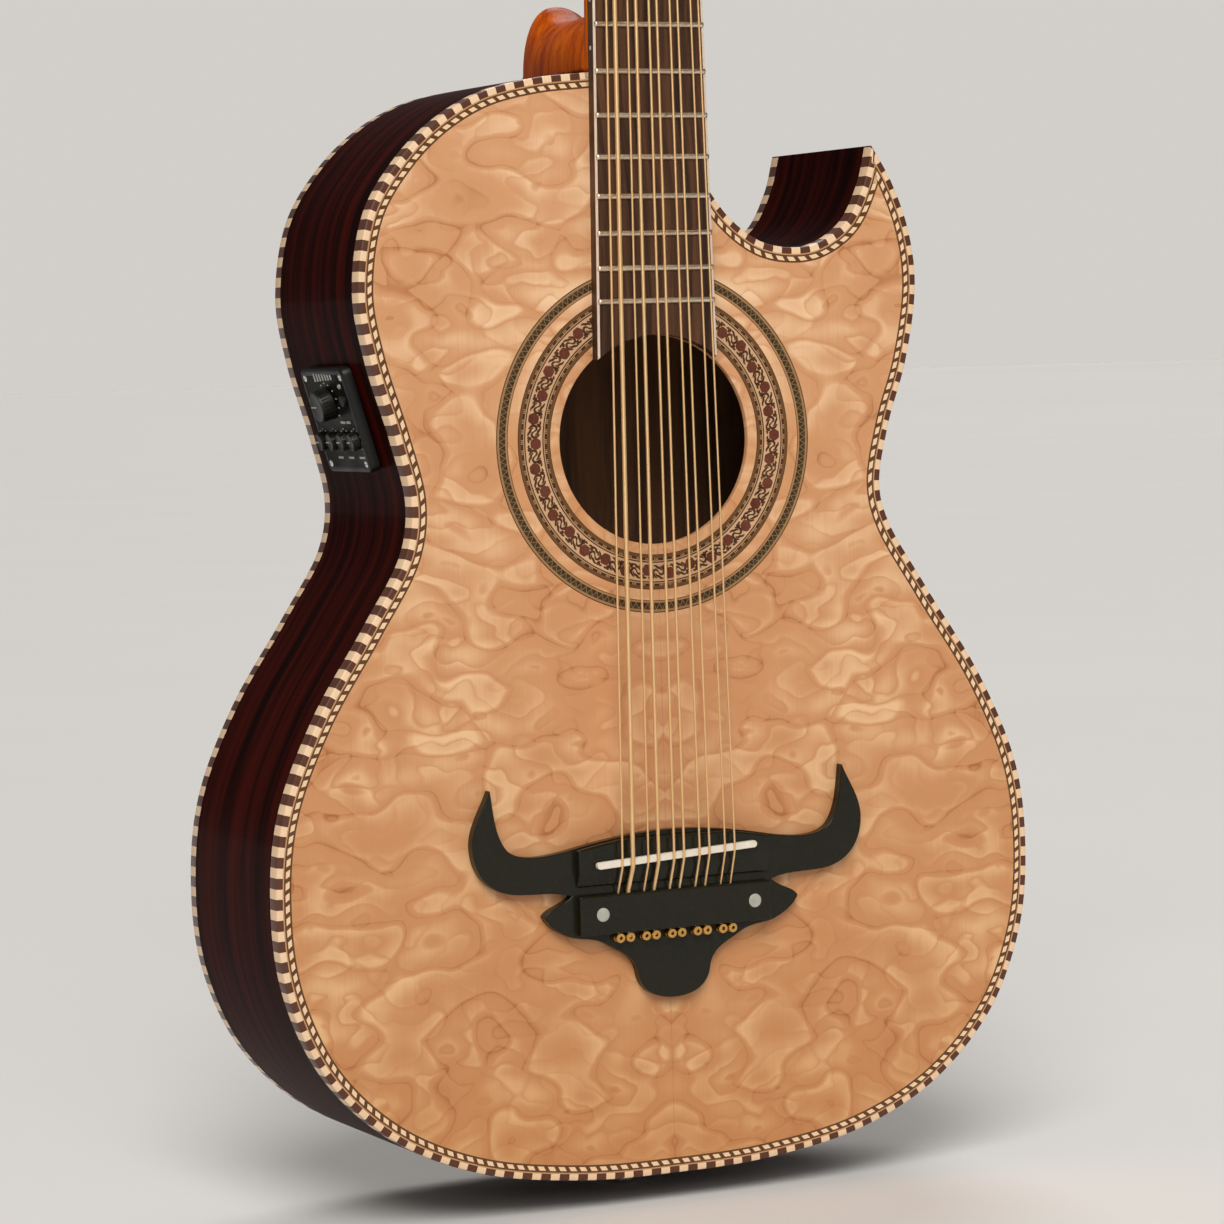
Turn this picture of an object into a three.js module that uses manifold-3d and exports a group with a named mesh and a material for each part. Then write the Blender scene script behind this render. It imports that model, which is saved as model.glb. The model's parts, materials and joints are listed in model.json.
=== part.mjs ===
// Ten-string bajo quinto with cutaway, bull's-head bridge and a pickup panel in the side.
// Millimetres. +Z runs from the tail up the neck, +X to the treble (cutaway) side, and the
// soundboard faces -Y. The row origin is the outer end of the end pin jack, on its axis.
// Inside the instrument group Y = 0 is the soundboard's face and Z = 0 the lowest point of the rim.
import * as THREE from 'three';
import { mergeVertices } from 'three/addons/utils/BufferGeometryUtils.js';
import Module from 'manifold-3d';

const wasm = await Module();
wasm.setup();

// ---- driving dimensions -------------------------------------------------------------------
const SCALE = 660;             // open string length
const FRETS = 18;
const SADDLE_BACKSET = 2.4;    // intonation: saddle centre behind the string's end
const SADDLE_SLANT = 3.05;     // degrees, bass end further back

const BODY_L = 471;            // tail to the rim at the neck, where the twelfth fret is
const BODY_HALF = 178.9;       // half the lower bout's width
const DEPTH_TAIL = 107.5;      // outside depth at the tail
const DEPTH_NECK = 93;         // outside depth at the neck
const HALF_NECK_BASS = 26;     // where the rim meets the neck
const HALF_NECK_TREBLE = 27.5;
const OUTLINE_POINTS = 84;
const CUTAWAY_POINTS = 14;

const TOP_T = 2.75;
const BACK_T = 3;
const SIDE_T = 2.5;
const BINDING_W = 2.5;         // seen from the front
const BINDING_H = 7;           // down the side
const LINING_W = 6.5;
const LINING_H = 13;
const GAP = 0.3;               // clearance between glued or cut pieces

const HOLE_DROP = 155.5;       // hole centre below the rim at the neck
const HOLE_R = 44.5;
const ROSETTE_LAND = 4.5;      // bare wood between the hole and the rosette
const ROSETTE_W = 24.5;
const ROSETTE_T = 1;

const NECK_BLOCK_H = 58;
const NECK_BLOCK_W = 100;
const TAIL_BLOCK_H = 24;
const TAIL_BLOCK_W = 90;
const BRACE_W = 12;
const BRACE_H = 14;
const BRACE_FROM_HOLE = 18;     // top braces' centres from the hole's edge
const BACK_BRACE_TOP = 97;     // back braces' centres below the rim at the neck
const BACK_BRACE_LOW = 321;

const PIN_PROUD = 12;          // end pin beyond the rim
const PIN_BARREL_R = 6;
const PIN_BARREL_L = 34;
const PIN_COLLAR_R = 8.5;
const PIN_WAIST_R = 4.6;
const PIN_HEAD_R = 7;
const PLUG_BORE_R = 3.3;

const NUT_W = 42;
const JOINT_W = 52.4;          // board width at the twelfth fret
const BOARD_T = 5.5;
const FRET_H = 1.1;
const FRET_W = 2.4;
const FRET_END = 0.6;          // fret stops this far inside the board's edge
const TANG_W = 3;
const SPINE_T = 0.9;           // strip that ties the frets, let into the board

const NECK_T_NUT = 15.5;       // shaft depth behind the board
const NECK_T_HEEL = 17.5;
const HEEL_W_BACK = 15;        // half width at the heel cap
const HEEL_INSET = 1;          // heel cap in front of the back plate's face

const NUT_T = 5;
const NUT_H = 1.5;             // above the board
const HEAD_ANGLE = 13;
const HEAD_T = 15;
const HEAD_L = 178;
const HEAD_W_LOW = 70;
const HEAD_W_TOP = 76;
const HEAD_FLARE = 22;         // height over which the head widens
const CROWN_H = 9;

const COURSES = 5;
const SADDLE_PITCH = 12.2;     // between courses
const SADDLE_PAIR = 4.7;       // inside a course
const NUT_PITCH = 7.9;
const NUT_PAIR = 2.8;
const GAUGES = [1.0, 2.0, 0.95, 1.6, 1.2, 1.2, 1.05, 1.05, 0.9, 0.9];

const TUNER_FIRST = 30;        // first post above the head's foot
const TUNER_PITCH = 29;
const POST_X = 24;
const POST_R = 3;
const POST_FRONT = 14;
const WRAP_H = 6;              // string height on the post
const GEAR_R = 5.5;
const GEAR_H = 3;
const WORM_R = 2.6;
const SHAFT_R = 1.9;
const KEY_X = 50;              // centre of the key's button
const KEY_HALF = [8, 4.5, 7.5];
const PLATE_T = 1.2;
const PLATE_W = 17;
const PLATE_MARGIN = 11;
const RUN = 0.4;               // running clearance of posts and shafts

const BRIDGE_T = 5;
const BLOCK_T = 9;             // raised saddle and tie blocks
const BLOCK_HALF = 45.5;
const SADDLE_BLOCK = [-11.1, 8.4]; // heights from the saddle
const TIE_BLOCK = [-31.6, -14.6];
const SADDLE_L = 76;
const SADDLE_W = 3;
const SADDLE_TOP = 11.4;       // above the soundboard
const SADDLE_SEAT = 4;         // slot floor above the soundboard
const TIE_HOLE_Y = 7;          // string holes above the soundboard
const RAMP_TOP = [-5.4, 9.35];  // string ramp behind the saddle: height from it, rise
const RAMP_FOOT = [-12.6, 5.75];

const PANEL_DROP = 142;        // centre below the rim at the neck
const PANEL_Y = 45.3;          // centre behind the soundboard's face
const PANEL = [4.5, 47.5, 46]; // proud thickness, front to back, height
const PANEL_R = 3.5;
const PANEL_SEAT = 1.2;        // flange above the curved rib
const HOUSING = [30, 36, 36];
const VOLUME = { r: 7, h: 6, y: 0, z: 8 };
const EQ = { r: 4, h: 3, first: -17.6, pitch: 11.7, z: -8.5 };
const BUTTON = { r: 2.5, proud: 1.4, sunk: 0.9, travel: 1, y: -17, z: 9 };
const STEM_R = 1.2;
const STEM_L = 2.5;

// ---- helpers ------------------------------------------------------------------------------
const v2 = (x, y) => new THREE.Vector2(x, y);
const rad = THREE.MathUtils.degToRad;
const level = (value) => (typeof value === 'function' ? value : () => value);

// A flat piece: an outline in X and Z between a front and a back Y, each a number or a
// function of Z.
function plate(outer, holes, front, back) {
  const shape = new THREE.Shape(outer);
  for (const hole of holes) shape.holes.push(new THREE.Path(hole));
  const g = new THREE.ExtrudeGeometry(shape, { depth: 1, bevelEnabled: false });
  const pos = g.attributes.position;
  for (let i = 0; i < pos.count; i += 1) {
    const [x, z, s] = [pos.getX(i), pos.getY(i), pos.getZ(i)];
    pos.setXYZ(i, x, s > 0.5 ? level(front)(z) : level(back)(z), z);
  }
  return g;
}

function solid(geometry) {
  const g = geometry.clone();
  g.deleteAttribute('normal');
  g.deleteAttribute('uv');
  const m = mergeVertices(g.index ? g.toNonIndexed() : g, 1e-4);
  return new wasm.Manifold(new wasm.Mesh({
    numProp: 3,
    vertProperties: new Float32Array(m.attributes.position.array),
    triVerts: new Uint32Array(m.index.array),
  }));
}

function geometryOf(body) {
  const m = body.getMesh();
  const g = new THREE.BufferGeometry();
  g.setAttribute('position', new THREE.BufferAttribute(new Float32Array(m.vertProperties), 3));
  g.setIndex(new THREE.BufferAttribute(new Uint32Array(m.triVerts), 1));
  g.computeVertexNormals();
  return g;
}

const join = (...parts) => geometryOf(parts.map(solid).reduce((a, b) => a.add(b)));
const cut = (body, ...tools) =>
  geometryOf(tools.map(solid).reduce((a, b) => a.subtract(b), solid(body)));
const common = (a, b) => geometryOf(solid(a).intersect(solid(b)));

const box = (x0, x1, y0, y1, z0, z1) =>
  new THREE.BoxGeometry(x1 - x0, y1 - y0, z1 - z0)
    .translate((x0 + x1) / 2, (y0 + y1) / 2, (z0 + z1) / 2);

// Turned piece round the Y axis; the profile is [radius, y] pairs from low y to high y.
const turned = (profile, segments = 16) =>
  new THREE.LatheGeometry(profile.map(([r, y]) => v2(r, y)), segments);
// The same along X, and along Z.
const turnedX = (profile, segments) => turned(profile, segments).rotateZ(-Math.PI / 2);
const turnedZ = (profile, segments) => turned(profile, segments).rotateX(Math.PI / 2);

// A profile in Y and Z extruded across X, centred.
function across(profile, half, steps = 1) {
  const g = new THREE.ExtrudeGeometry(new THREE.Shape(profile),
    { depth: 2 * half, steps, bevelEnabled: false });
  // shape x -> Y, shape y -> Z, depth -> X
  g.applyMatrix4(new THREE.Matrix4().makeBasis(
    new THREE.Vector3(0, 1, 0), new THREE.Vector3(0, 0, 1), new THREE.Vector3(1, 0, 0)));
  return g.translate(-half, 0, 0);
}

// A box with its four long edges rounded, lying along X.
function roundedPanel(x0, x1, width, height, r) {
  const [a, b] = [width / 2 - r, height / 2 - r];
  const s = new THREE.Shape();
  s.absarc(a, b, r, 0, Math.PI / 2);
  s.absarc(-a, b, r, Math.PI / 2, Math.PI);
  s.absarc(-a, -b, r, Math.PI, Math.PI * 1.5);
  s.absarc(a, -b, r, Math.PI * 1.5, Math.PI * 2);
  const opts = { depth: x1 - x0, bevelEnabled: false, curveSegments: 4 };
  const g = new THREE.ExtrudeGeometry(s, opts);
  // shape x -> Y, shape y -> Z, depth -> X
  g.applyMatrix4(new THREE.Matrix4().makeBasis(
    new THREE.Vector3(0, 1, 0), new THREE.Vector3(0, 0, 1), new THREE.Vector3(1, 0, 0)));
  return g.translate(x0, 0, 0);
}

const looks = {
  maple: [0xe0ac78, 0.3, 0], rib: [0x2a0b08, 0.22, 0], binding: [0xb08a66, 0.35, 0],
  inner: [0xb98d5a, 0.8, 0], ebony: [0x231f1c, 0.5, 0], bone: [0xe9dfcc, 0.4, 0],
  mahogany: [0x8a3a12, 0.28, 0], rosewood: [0x3a2318, 0.45, 0], nickel: [0xcfcabd, 0.3, 1],
  bronze: [0xb98a52, 0.35, 1], plastic: [0x121212, 0.45, 0], steel: [0xc4c0b4, 0.3, 1],
  pearl: [0xe6e2d6, 0.3, 0], mosaic: [0x9c7b50, 0.4, 0],
};
function node(parent, name, look, geometry) {
  const [color, roughness, metalness] = looks[look];
  const mesh = new THREE.Mesh(geometry, new THREE.MeshStandardMaterial({
    color, roughness, metalness }));
  mesh.name = name;
  parent.add(mesh);
  return mesh;
}

// ---- body outline -------------------------------------------------------------------------
// Shares of half the width and of the length.
const RIM = [
  [-0.2907, 0.9947], [-0.4248, 0.982], [-0.5422, 0.9569], [-0.6372, 0.9229],
  [-0.7155, 0.8769], [-0.7479, 0.8068], [-0.7228, 0.7473], [-0.6674, 0.6783],
  [-0.6316, 0.62], [-0.6495, 0.5764], [-0.749, 0.5138], [-0.8832, 0.4352],
  [-0.9771, 0.3516], [-1, 0.2675], [-0.976, 0.1932], [-0.8888, 0.1197], [-0.7295, 0.0594],
  [-0.517, 0.0212], [-0.2515, 0.0032], [0, 0], [0.2515, 0.0032], [0.517, 0.0212],
  [0.7295, 0.0594], [0.8888, 0.1197], [0.976, 0.1932], [1, 0.2675], [0.9782, 0.3482],
  [0.8832, 0.4342], [0.7323, 0.5234], [0.63, 0.5871], [0.6093, 0.62], [0.6383, 0.6752],
  [0.6914, 0.7346], [0.7228, 0.8047], [0.7071, 0.8556], [0.6618, 0.9011],
];
const HORN = [0.611, 0.9331];
const CUTAWAY = [
  [0.588, 0.9002], [0.5344, 0.8637], [0.4528, 0.8442], [0.3801, 0.8408], [0.2996, 0.8469],
  [0.218, 0.8684],
];
const CUT_FOOT = 0.8992;       // where the cutaway meets the neck
const onBody = ([u, v]) => [u * BODY_HALF, v * BODY_L];

function curveThrough(points, count) {
  const path = new THREE.CatmullRomCurve3(
    points.map(([x, z]) => new THREE.Vector3(x, 0, z)), false, 'centripetal');
  return path.getSpacedPoints(count).map((p) => v2(p.x, p.z));
}
const rimCurve = curveThrough(
  [[-HALF_NECK_BASS, BODY_L], ...[...RIM, HORN].map(onBody)], OUTLINE_POINTS - CUTAWAY_POINTS);
const cutCurve = curveThrough(
  [...[HORN, ...CUTAWAY].map(onBody), [HALF_NECK_TREBLE, CUT_FOOT * BODY_L]], CUTAWAY_POINTS);
const OUTLINE = [...rimCurve, ...cutCurve.slice(1), v2(HALF_NECK_TREBLE, BODY_L)];

function segmentDistance(p, a, b) {
  const ab = b.clone().sub(a);
  const t = THREE.MathUtils.clamp(p.clone().sub(a).dot(ab) / ab.lengthSq(), 0, 1);
  return p.distanceTo(a.clone().addScaledVector(ab, t));
}

// The outline moved inwards; points that a sharp corner leaves too near the rim are dropped.
function inset(distance) {
  const n = OUTLINE.length;
  const side = Math.sign(THREE.ShapeUtils.area(OUTLINE));
  const normal = (a, b) => v2(-(b.y - a.y), b.x - a.x).normalize().multiplyScalar(side);
  const out = [];
  for (let i = 0; i < n; i += 1) {
    const [a, p, b] = [OUTLINE[(i + n - 1) % n], OUTLINE[i], OUTLINE[(i + 1) % n]];
    const [n0, n1] = [normal(a, p), normal(p, b)];
    const miter = n0.clone().add(n1).normalize();
    const q = p.clone().addScaledVector(miter, distance / Math.max(0.25, miter.dot(n1)));
    const clear = OUTLINE.every((s, k) =>
      segmentDistance(q, s, OUTLINE[(k + 1) % n]) > distance - 0.01);
    if (clear) out.push(q);
  }
  return out;
}

const HOLE_Z = BODY_L - HOLE_DROP;
const PANEL_Z = BODY_L - PANEL_DROP;
const depth = (z) => DEPTH_TAIL + ((DEPTH_NECK - DEPTH_TAIL) * z) / BODY_L;
const behind = (offset) => (z) => depth(z) + offset;
const circle = (r, z, n) => Array.from({ length: n }, (_, i) =>
  v2(r * Math.cos((2 * Math.PI * i) / n), z + r * Math.sin((2 * Math.PI * i) / n)));

const ledge = inset(BINDING_W);
const wallInside = inset(SIDE_T);
const liningOuter = inset(Math.max(SIDE_T, BINDING_W));
const liningInner = inset(Math.max(SIDE_T, BINDING_W) + LINING_W);
const clearOfLining = inset(Math.max(SIDE_T, BINDING_W) + LINING_W + GAP);

const instrument = new THREE.Group();
instrument.position.set(0, -DEPTH_TAIL / 2, PIN_PROUD);

// ---- blocks, linings and ribs -------------------------------------------------------------
const blockOutline = inset(Math.max(SIDE_T, BINDING_W) + GAP);
const liningFront = TOP_T + LINING_H;
const liningBack = behind(-BACK_T - GAP - LINING_H);
const blockBox = (w, z0, z1) => box(-w / 2, w / 2, -10, DEPTH_TAIL + 10, z0, z1);
const neckBlockBox = blockBox(NECK_BLOCK_W, BODY_L - NECK_BLOCK_H, BODY_L + 10);
const tailBlockBox = blockBox(TAIL_BLOCK_W, -10, TAIL_BLOCK_H);
// A block reaches the ribs between the two linings and is notched for them.
const blockShape = join(plate(clearOfLining, [], TOP_T, behind(-BACK_T - GAP)),
  plate(blockOutline, [], liningFront + GAP, (z) => liningBack(z) - GAP));

const pinY = DEPTH_TAIL / 2;
const pinHole = (r) => turnedZ([[0, -60], [r, -60], [r, 60], [0, 60]], 20)
  .translate(0, pinY, 0);

node(instrument, 'neck_block', 'inner', common(blockShape, neckBlockBox));
node(instrument, 'tail_block', 'inner',
  cut(common(blockShape, tailBlockBox), pinHole(PIN_BARREL_R + GAP)));
node(instrument, 'front_lining', 'inner',
  plate(liningOuter, [liningInner], TOP_T, liningFront));
node(instrument, 'back_lining', 'inner',
  plate(liningOuter, [liningInner], liningBack, behind(-BACK_T - GAP)));

// Rib position and slope on the bass side at a height.
function bassRib(z) {
  const i = rimCurve.findIndex((p, k) => k > 0 && p.x < 0 && p.y < z);
  const [a, b] = [rimCurve[i - 1], rimCurve[i]];
  return THREE.MathUtils.mapLinear(z, a.y, b.y, a.x, b.x);
}
const halfPanel = PANEL[2] / 2;
const ribRun = bassRib(PANEL_Z + halfPanel) - bassRib(PANEL_Z - halfPanel);
const panelTilt = Math.atan2(ribRun, PANEL[2]);
const panelX = (bassRib(PANEL_Z + halfPanel) + bassRib(PANEL_Z - halfPanel)) / 2;
const panelGroup = new THREE.Group();
panelGroup.position.set(panelX, PANEL_Y, PANEL_Z);
panelGroup.rotation.y = panelTilt;
panelGroup.updateMatrix();
const housingHole = box(-40, HOUSING[0] + 10, -HOUSING[1] / 2 - GAP, HOUSING[1] / 2 + GAP,
  -HOUSING[2] / 2 - GAP, HOUSING[2] / 2 + GAP).applyMatrix4(panelGroup.matrix);

const ribs = plate(OUTLINE, [wallInside], BINDING_H, behind(-BINDING_H));
node(instrument, 'sides', 'rib', cut(ribs, housingHole, pinHole(PIN_BARREL_R + GAP)));

node(instrument, 'front_binding', 'binding', plate(OUTLINE, [ledge], 0, BINDING_H));
node(instrument, 'back_binding', 'binding',
  plate(OUTLINE, [ledge], behind(-BINDING_H + GAP), behind(0)));

// ---- soundboard, rosette, back and braces -------------------------------------------------
const rosetteIn = HOLE_R + ROSETTE_LAND;
const rosetteOut = rosetteIn + ROSETTE_W;
const ring = (r0, r1, y0, y1, n) =>
  turned([[r0, y0], [r1, y0], [r1, y1], [r0, y1], [r0, y0]], n).translate(0, 0, HOLE_Z);
node(instrument, 'soundboard', 'maple', cut(
  plate(ledge, [circle(HOLE_R, HOLE_Z, 48)], 0, TOP_T),
  ring(rosetteIn - GAP, rosetteOut + GAP, -1, ROSETTE_T + GAP, 48)));
node(instrument, 'rosette', 'mosaic', ring(rosetteIn, rosetteOut, 0, ROSETTE_T, 48));
node(instrument, 'back_plate', 'rib', plate(ledge, [], behind(-BACK_T), behind(0)));

const bracePrism = (front, back) => plate(clearOfLining, [], front, back);
// A brace that reaches as high as the cutaway stops at the neck on that side.
const cutawayLow = Math.min(...cutCurve.map((p) => p.y)) - Math.max(SIDE_T, BINDING_W) - LINING_W;
const trebleEnd = (z) => (z + BRACE_W / 2 > cutawayLow ? HALF_NECK_TREBLE : BODY_HALF);
const braceBox = (z) => box(-BODY_HALF, trebleEnd(z), -20, DEPTH_TAIL + 20,
  z - BRACE_W / 2, z + BRACE_W / 2);
const fromHole = HOLE_R + BRACE_FROM_HOLE;
const topBraces = [[HOLE_Z + fromHole, 'top_brace_above_hole'],
  [HOLE_Z - fromHole, 'top_brace_below_hole']];
for (const [z, name] of topBraces) {
  node(instrument, name, 'inner',
    common(bracePrism(TOP_T + GAP, TOP_T + GAP + BRACE_H), braceBox(z)));
}
const backBraces = [[BODY_L - BACK_BRACE_TOP, 'back_brace_upper'],
  [BODY_L - BACK_BRACE_LOW, 'back_brace_lower']];
for (const [z, name] of backBraces) {
  node(instrument, name, 'inner',
    common(bracePrism(behind(-BACK_T - GAP - BRACE_H), behind(-BACK_T - GAP)), braceBox(z)));
}

// ---- end pin jack -------------------------------------------------------------------------
const jack = turnedZ([
  [PLUG_BORE_R, -PIN_PROUD], [PIN_HEAD_R, -PIN_PROUD], [PIN_HEAD_R, -PIN_PROUD + 3.5],
  [PIN_WAIST_R, -PIN_PROUD + 5], [PIN_WAIST_R, -4.5], [PIN_COLLAR_R, -3], [PIN_COLLAR_R, -GAP],
  [PIN_BARREL_R, -GAP], [PIN_BARREL_R, PIN_BARREL_L], [PLUG_BORE_R, PIN_BARREL_L],
  [PLUG_BORE_R, -PIN_PROUD],
], 20).translate(0, pinY, 0);
node(instrument, 'end_pin_jack', 'steel', jack);

// ---- neck ---------------------------------------------------------------------------------
const JOINT_Z = BODY_L;
const NUT_Z = JOINT_Z + SCALE / 2;
const boardHalf = (z) =>
  THREE.MathUtils.mapLinear(z, JOINT_Z, NUT_Z, JOINT_W, NUT_W) / 2;
const headFoot = NUT_Z + NUT_T;

// Shaft: a flattened round section that follows the board's taper.
function shaftGeometry(z0, z1) {
  const s = new THREE.Shape();
  s.absellipse(0, 0, 1, 1, 0, Math.PI);
  const g = new THREE.ExtrudeGeometry(s, { depth: 1, bevelEnabled: false, curveSegments: 14 });
  const pos = g.attributes.position;
  for (let i = 0; i < pos.count; i += 1) {
    const z = THREE.MathUtils.lerp(z0, z1, pos.getZ(i));
    const deep = THREE.MathUtils.mapLinear(z, JOINT_Z, NUT_Z, NECK_T_HEEL, NECK_T_NUT);
    pos.setXYZ(i, pos.getX(i) * boardHalf(z), pos.getY(i) * deep, z);
  }
  return g;
}

// Heel: a side profile extruded across, narrowing towards its cap.
const heelCap = depth(BODY_L) - HEEL_INSET;
const heelFoot = BODY_L + GAP;
function heelGeometry() {
  const s = new THREE.Shape();
  s.moveTo(0, heelFoot);
  s.lineTo(heelCap, heelFoot);
  s.lineTo(heelCap, BODY_L + 12);
  s.bezierCurveTo(heelCap - 3, BODY_L + 24, heelCap - 18, BODY_L + 33,
    heelCap - 36, BODY_L + 33.5);
  s.bezierCurveTo(heelCap - 50, BODY_L + 33.5, 24, BODY_L + 29, 12, BODY_L + 27);
  s.lineTo(0, BODY_L + 27);
  const g = across(s.getPoints(7), 1, 2);
  const pos = g.attributes.position;
  for (let i = 0; i < pos.count; i += 1) {
    const y = pos.getY(i);
    const share = (y / heelCap) ** 2;
    const half = THREE.MathUtils.lerp(boardHalf(BODY_L) - GAP, HEEL_W_BACK, share);
    pos.setX(i, pos.getX(i) * half);
  }
  return g;
}

const head = new THREE.Group();
head.position.set(0, 0, headFoot);
head.rotation.x = -rad(HEAD_ANGLE);
head.updateMatrix();
const postZ = (k) => TUNER_FIRST + TUNER_PITCH * k;
const postHole = (sx, k) => turned([[0, -40], [POST_R + RUN, -40], [POST_R + RUN, 60], [0, 60]], 10)
  .translate(sx * POST_X, 0, postZ(k));
const sides2 = [[-1, 'bass'], [1, 'treble']];
const posts = sides2.flatMap(([sx, side]) =>
  Array.from({ length: COURSES }, (_, k) => ({ sx, side, k })));

function headOutline() {
  const s = new THREE.Shape();
  const [low, top] = [HEAD_W_LOW / 2, HEAD_W_TOP / 2];
  s.moveTo(-NUT_W / 2, 0);
  s.lineTo(NUT_W / 2, 0);
  s.bezierCurveTo(NUT_W / 2, HEAD_FLARE / 2, low, HEAD_FLARE / 2, low, HEAD_FLARE);
  s.lineTo(top, HEAD_L - CROWN_H);
  s.quadraticCurveTo(top / 2, HEAD_L - CROWN_H, top / 3, HEAD_L);
  s.quadraticCurveTo(0, HEAD_L - CROWN_H / 2, -top / 3, HEAD_L);
  s.quadraticCurveTo(-top / 2, HEAD_L - CROWN_H, -top, HEAD_L - CROWN_H);
  s.lineTo(-low, HEAD_FLARE);
  s.bezierCurveTo(-low, HEAD_FLARE / 2, -NUT_W / 2, HEAD_FLARE / 2, -NUT_W / 2, 0);
  return s.getPoints(6).slice(0, -1);
}
const headPlate = plate(headOutline(), [], 0, HEAD_T);
const inFront = box(-100, 100, -60, 0, 0, 300);
const headCore = cut(headPlate, ...posts.map(({ sx, k }) => postHole(sx, k)))
  .applyMatrix4(head.matrix);
const shaftEnd = headFoot + 7;
const shaftCore = cut(shaftGeometry(heelFoot, shaftEnd), inFront.applyMatrix4(head.matrix));
node(instrument, 'neck', 'mahogany', join(shaftCore, heelGeometry(), headCore));

// ---- fingerboard, frets and nut -----------------------------------------------------------
const fretZ = (n) => NUT_Z - SCALE * (1 - 2 ** (-n / 12));
const grooveTop = fretZ(1) + FRET_W;
const grooveEnd = fretZ(FRETS) - FRET_W;
function boardOutline() {
  const half = boardHalf(HOLE_Z + HOLE_R * 0.75);
  const a = Math.acos(half / HOLE_R);
  const end = Array.from({ length: 13 }, (_, i) => {
    const t = THREE.MathUtils.lerp(a, Math.PI - a, i / 12);
    return v2(HOLE_R * Math.cos(t), HOLE_Z + HOLE_R * Math.sin(t));
  });
  return [v2(-NUT_W / 2, NUT_Z), ...end.reverse(), v2(NUT_W / 2, NUT_Z)];
}
node(instrument, 'fingerboard', 'rosewood', cut(
  plate(boardOutline(), [], -BOARD_T, 0),
  box(-TANG_W / 2 - GAP, TANG_W / 2 + GAP, -BOARD_T - 5, -BOARD_T + SPINE_T + GAP,
    grooveEnd - GAP, grooveTop + GAP)));

const fretBars = [];
for (let n = 1; n <= FRETS; n += 1) {
  const z = fretZ(n);
  const crown = [[0, -FRET_W / 2], [-FRET_H, -FRET_W / 4], [-FRET_H, FRET_W / 4],
    [0, FRET_W / 2]];
  fretBars.push(across(crown.map(([y, dz]) => v2(y, dz)), boardHalf(z) - FRET_END)
    .translate(0, -BOARD_T, z));
  fretBars.push(box(-TANG_W / 2, TANG_W / 2, -BOARD_T - FRET_H / 2, -BOARD_T + SPINE_T / 2,
    z - FRET_W / 4, z + FRET_W / 4));
}
const spine = box(-TANG_W / 2, TANG_W / 2, -BOARD_T, -BOARD_T + SPINE_T, grooveEnd, grooveTop);
node(instrument, 'frets', 'nickel', join(spine, ...fretBars));

const nutTop = BOARD_T + NUT_H;
node(instrument, 'nut', 'bone', box(-NUT_W / 2, NUT_W / 2, -nutTop, 0, NUT_Z, NUT_Z + NUT_T));

// ---- bridge and saddle --------------------------------------------------------------------
const courseX = (i, pitch, pair) =>
  (Math.floor(i / 2) - (COURSES - 1) / 2) * pitch + (i % 2 ? pair : -pair) / 2;
const saddleZ = NUT_Z - SCALE - SADDLE_BACKSET;
const slant = Math.tan(rad(SADDLE_SLANT));

// Heights from the saddle.
function bullHead() {
  const s = new THREE.Shape();
  const half = (m) => ({
    bez: (a, b, c, d, e, f) => s.bezierCurveTo(m * a, b, m * c, d, m * e, f),
  });
  const r = half(1);
  const l = half(-1);
  s.moveTo(0, -61.6);
  r.bez(8, -61.6, 15.5, -58.6, 17, -50.6);               // snout
  r.bez(18, -41.6, 26, -40.1, 33.5, -35.3);
  r.bez(40, -32.6, 46, -33.6, 50, -31.3);           // ear, lower edge
  r.bez(54, -29.6, 58.5, -26.6, 60.5, -22.6);         // ear tip
  r.bez(58.5, -19, 52, -18.6, 47.5, -14.6);       // notch
  r.bez(54, -12, 64, -12.8, 73, -12);       // horn, outer edge
  r.bez(86, -10.6, 92.5, -1.6, 92.6, 9.4);
  r.bez(92.6, 18.4, 86.5, 25.4, 83.8, 32.9);     // horn tip
  r.bez(82.5, 24.4, 82.5, 14.4, 77, 7.4);         // horn, inner edge
  r.bez(72, 1.9, 60, 2.7, 48, 4.9);
  r.bez(34, 7.9, 16, 10.6, 0, 10.6);        // crown
  l.bez(16, 10.6, 34, 7.9, 48, 4.9);
  l.bez(60, 2.7, 72, 1.9, 77, 7.4);
  l.bez(82.5, 14.4, 82.5, 24.4, 83.8, 32.9);
  l.bez(86.5, 25.4, 92.6, 18.4, 92.6, 9.4);
  l.bez(92.5, -1.6, 86, -10.6, 73, -12);
  l.bez(64, -12.8, 54, -12, 47.5, -14.6);
  l.bez(52, -18.6, 58.5, -19, 60.5, -22.6);
  l.bez(58.5, -26.6, 54, -29.6, 50, -31.3);
  l.bez(46, -33.6, 40, -32.6, 33.5, -35.3);
  l.bez(26, -40.1, 18, -41.6, 17, -50.6);
  l.bez(15.5, -58.6, 8, -61.6, 0, -61.6);
  return s.getPoints(4).slice(0, -1);
}
const bridgeLayer = (rise) => plate(bullHead(), [], -rise, 0).translate(0, 0, saddleZ);
const block = ([z0, z1]) => common(bridgeLayer(BLOCK_T),
  box(-BLOCK_HALF, BLOCK_HALF, -BLOCK_T - 1, 1, saddleZ + z0, saddleZ + z1));
const saddlePlace = new THREE.Matrix4()
  .makeRotationY(-rad(SADDLE_SLANT)).setPosition(0, 0, saddleZ);
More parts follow.
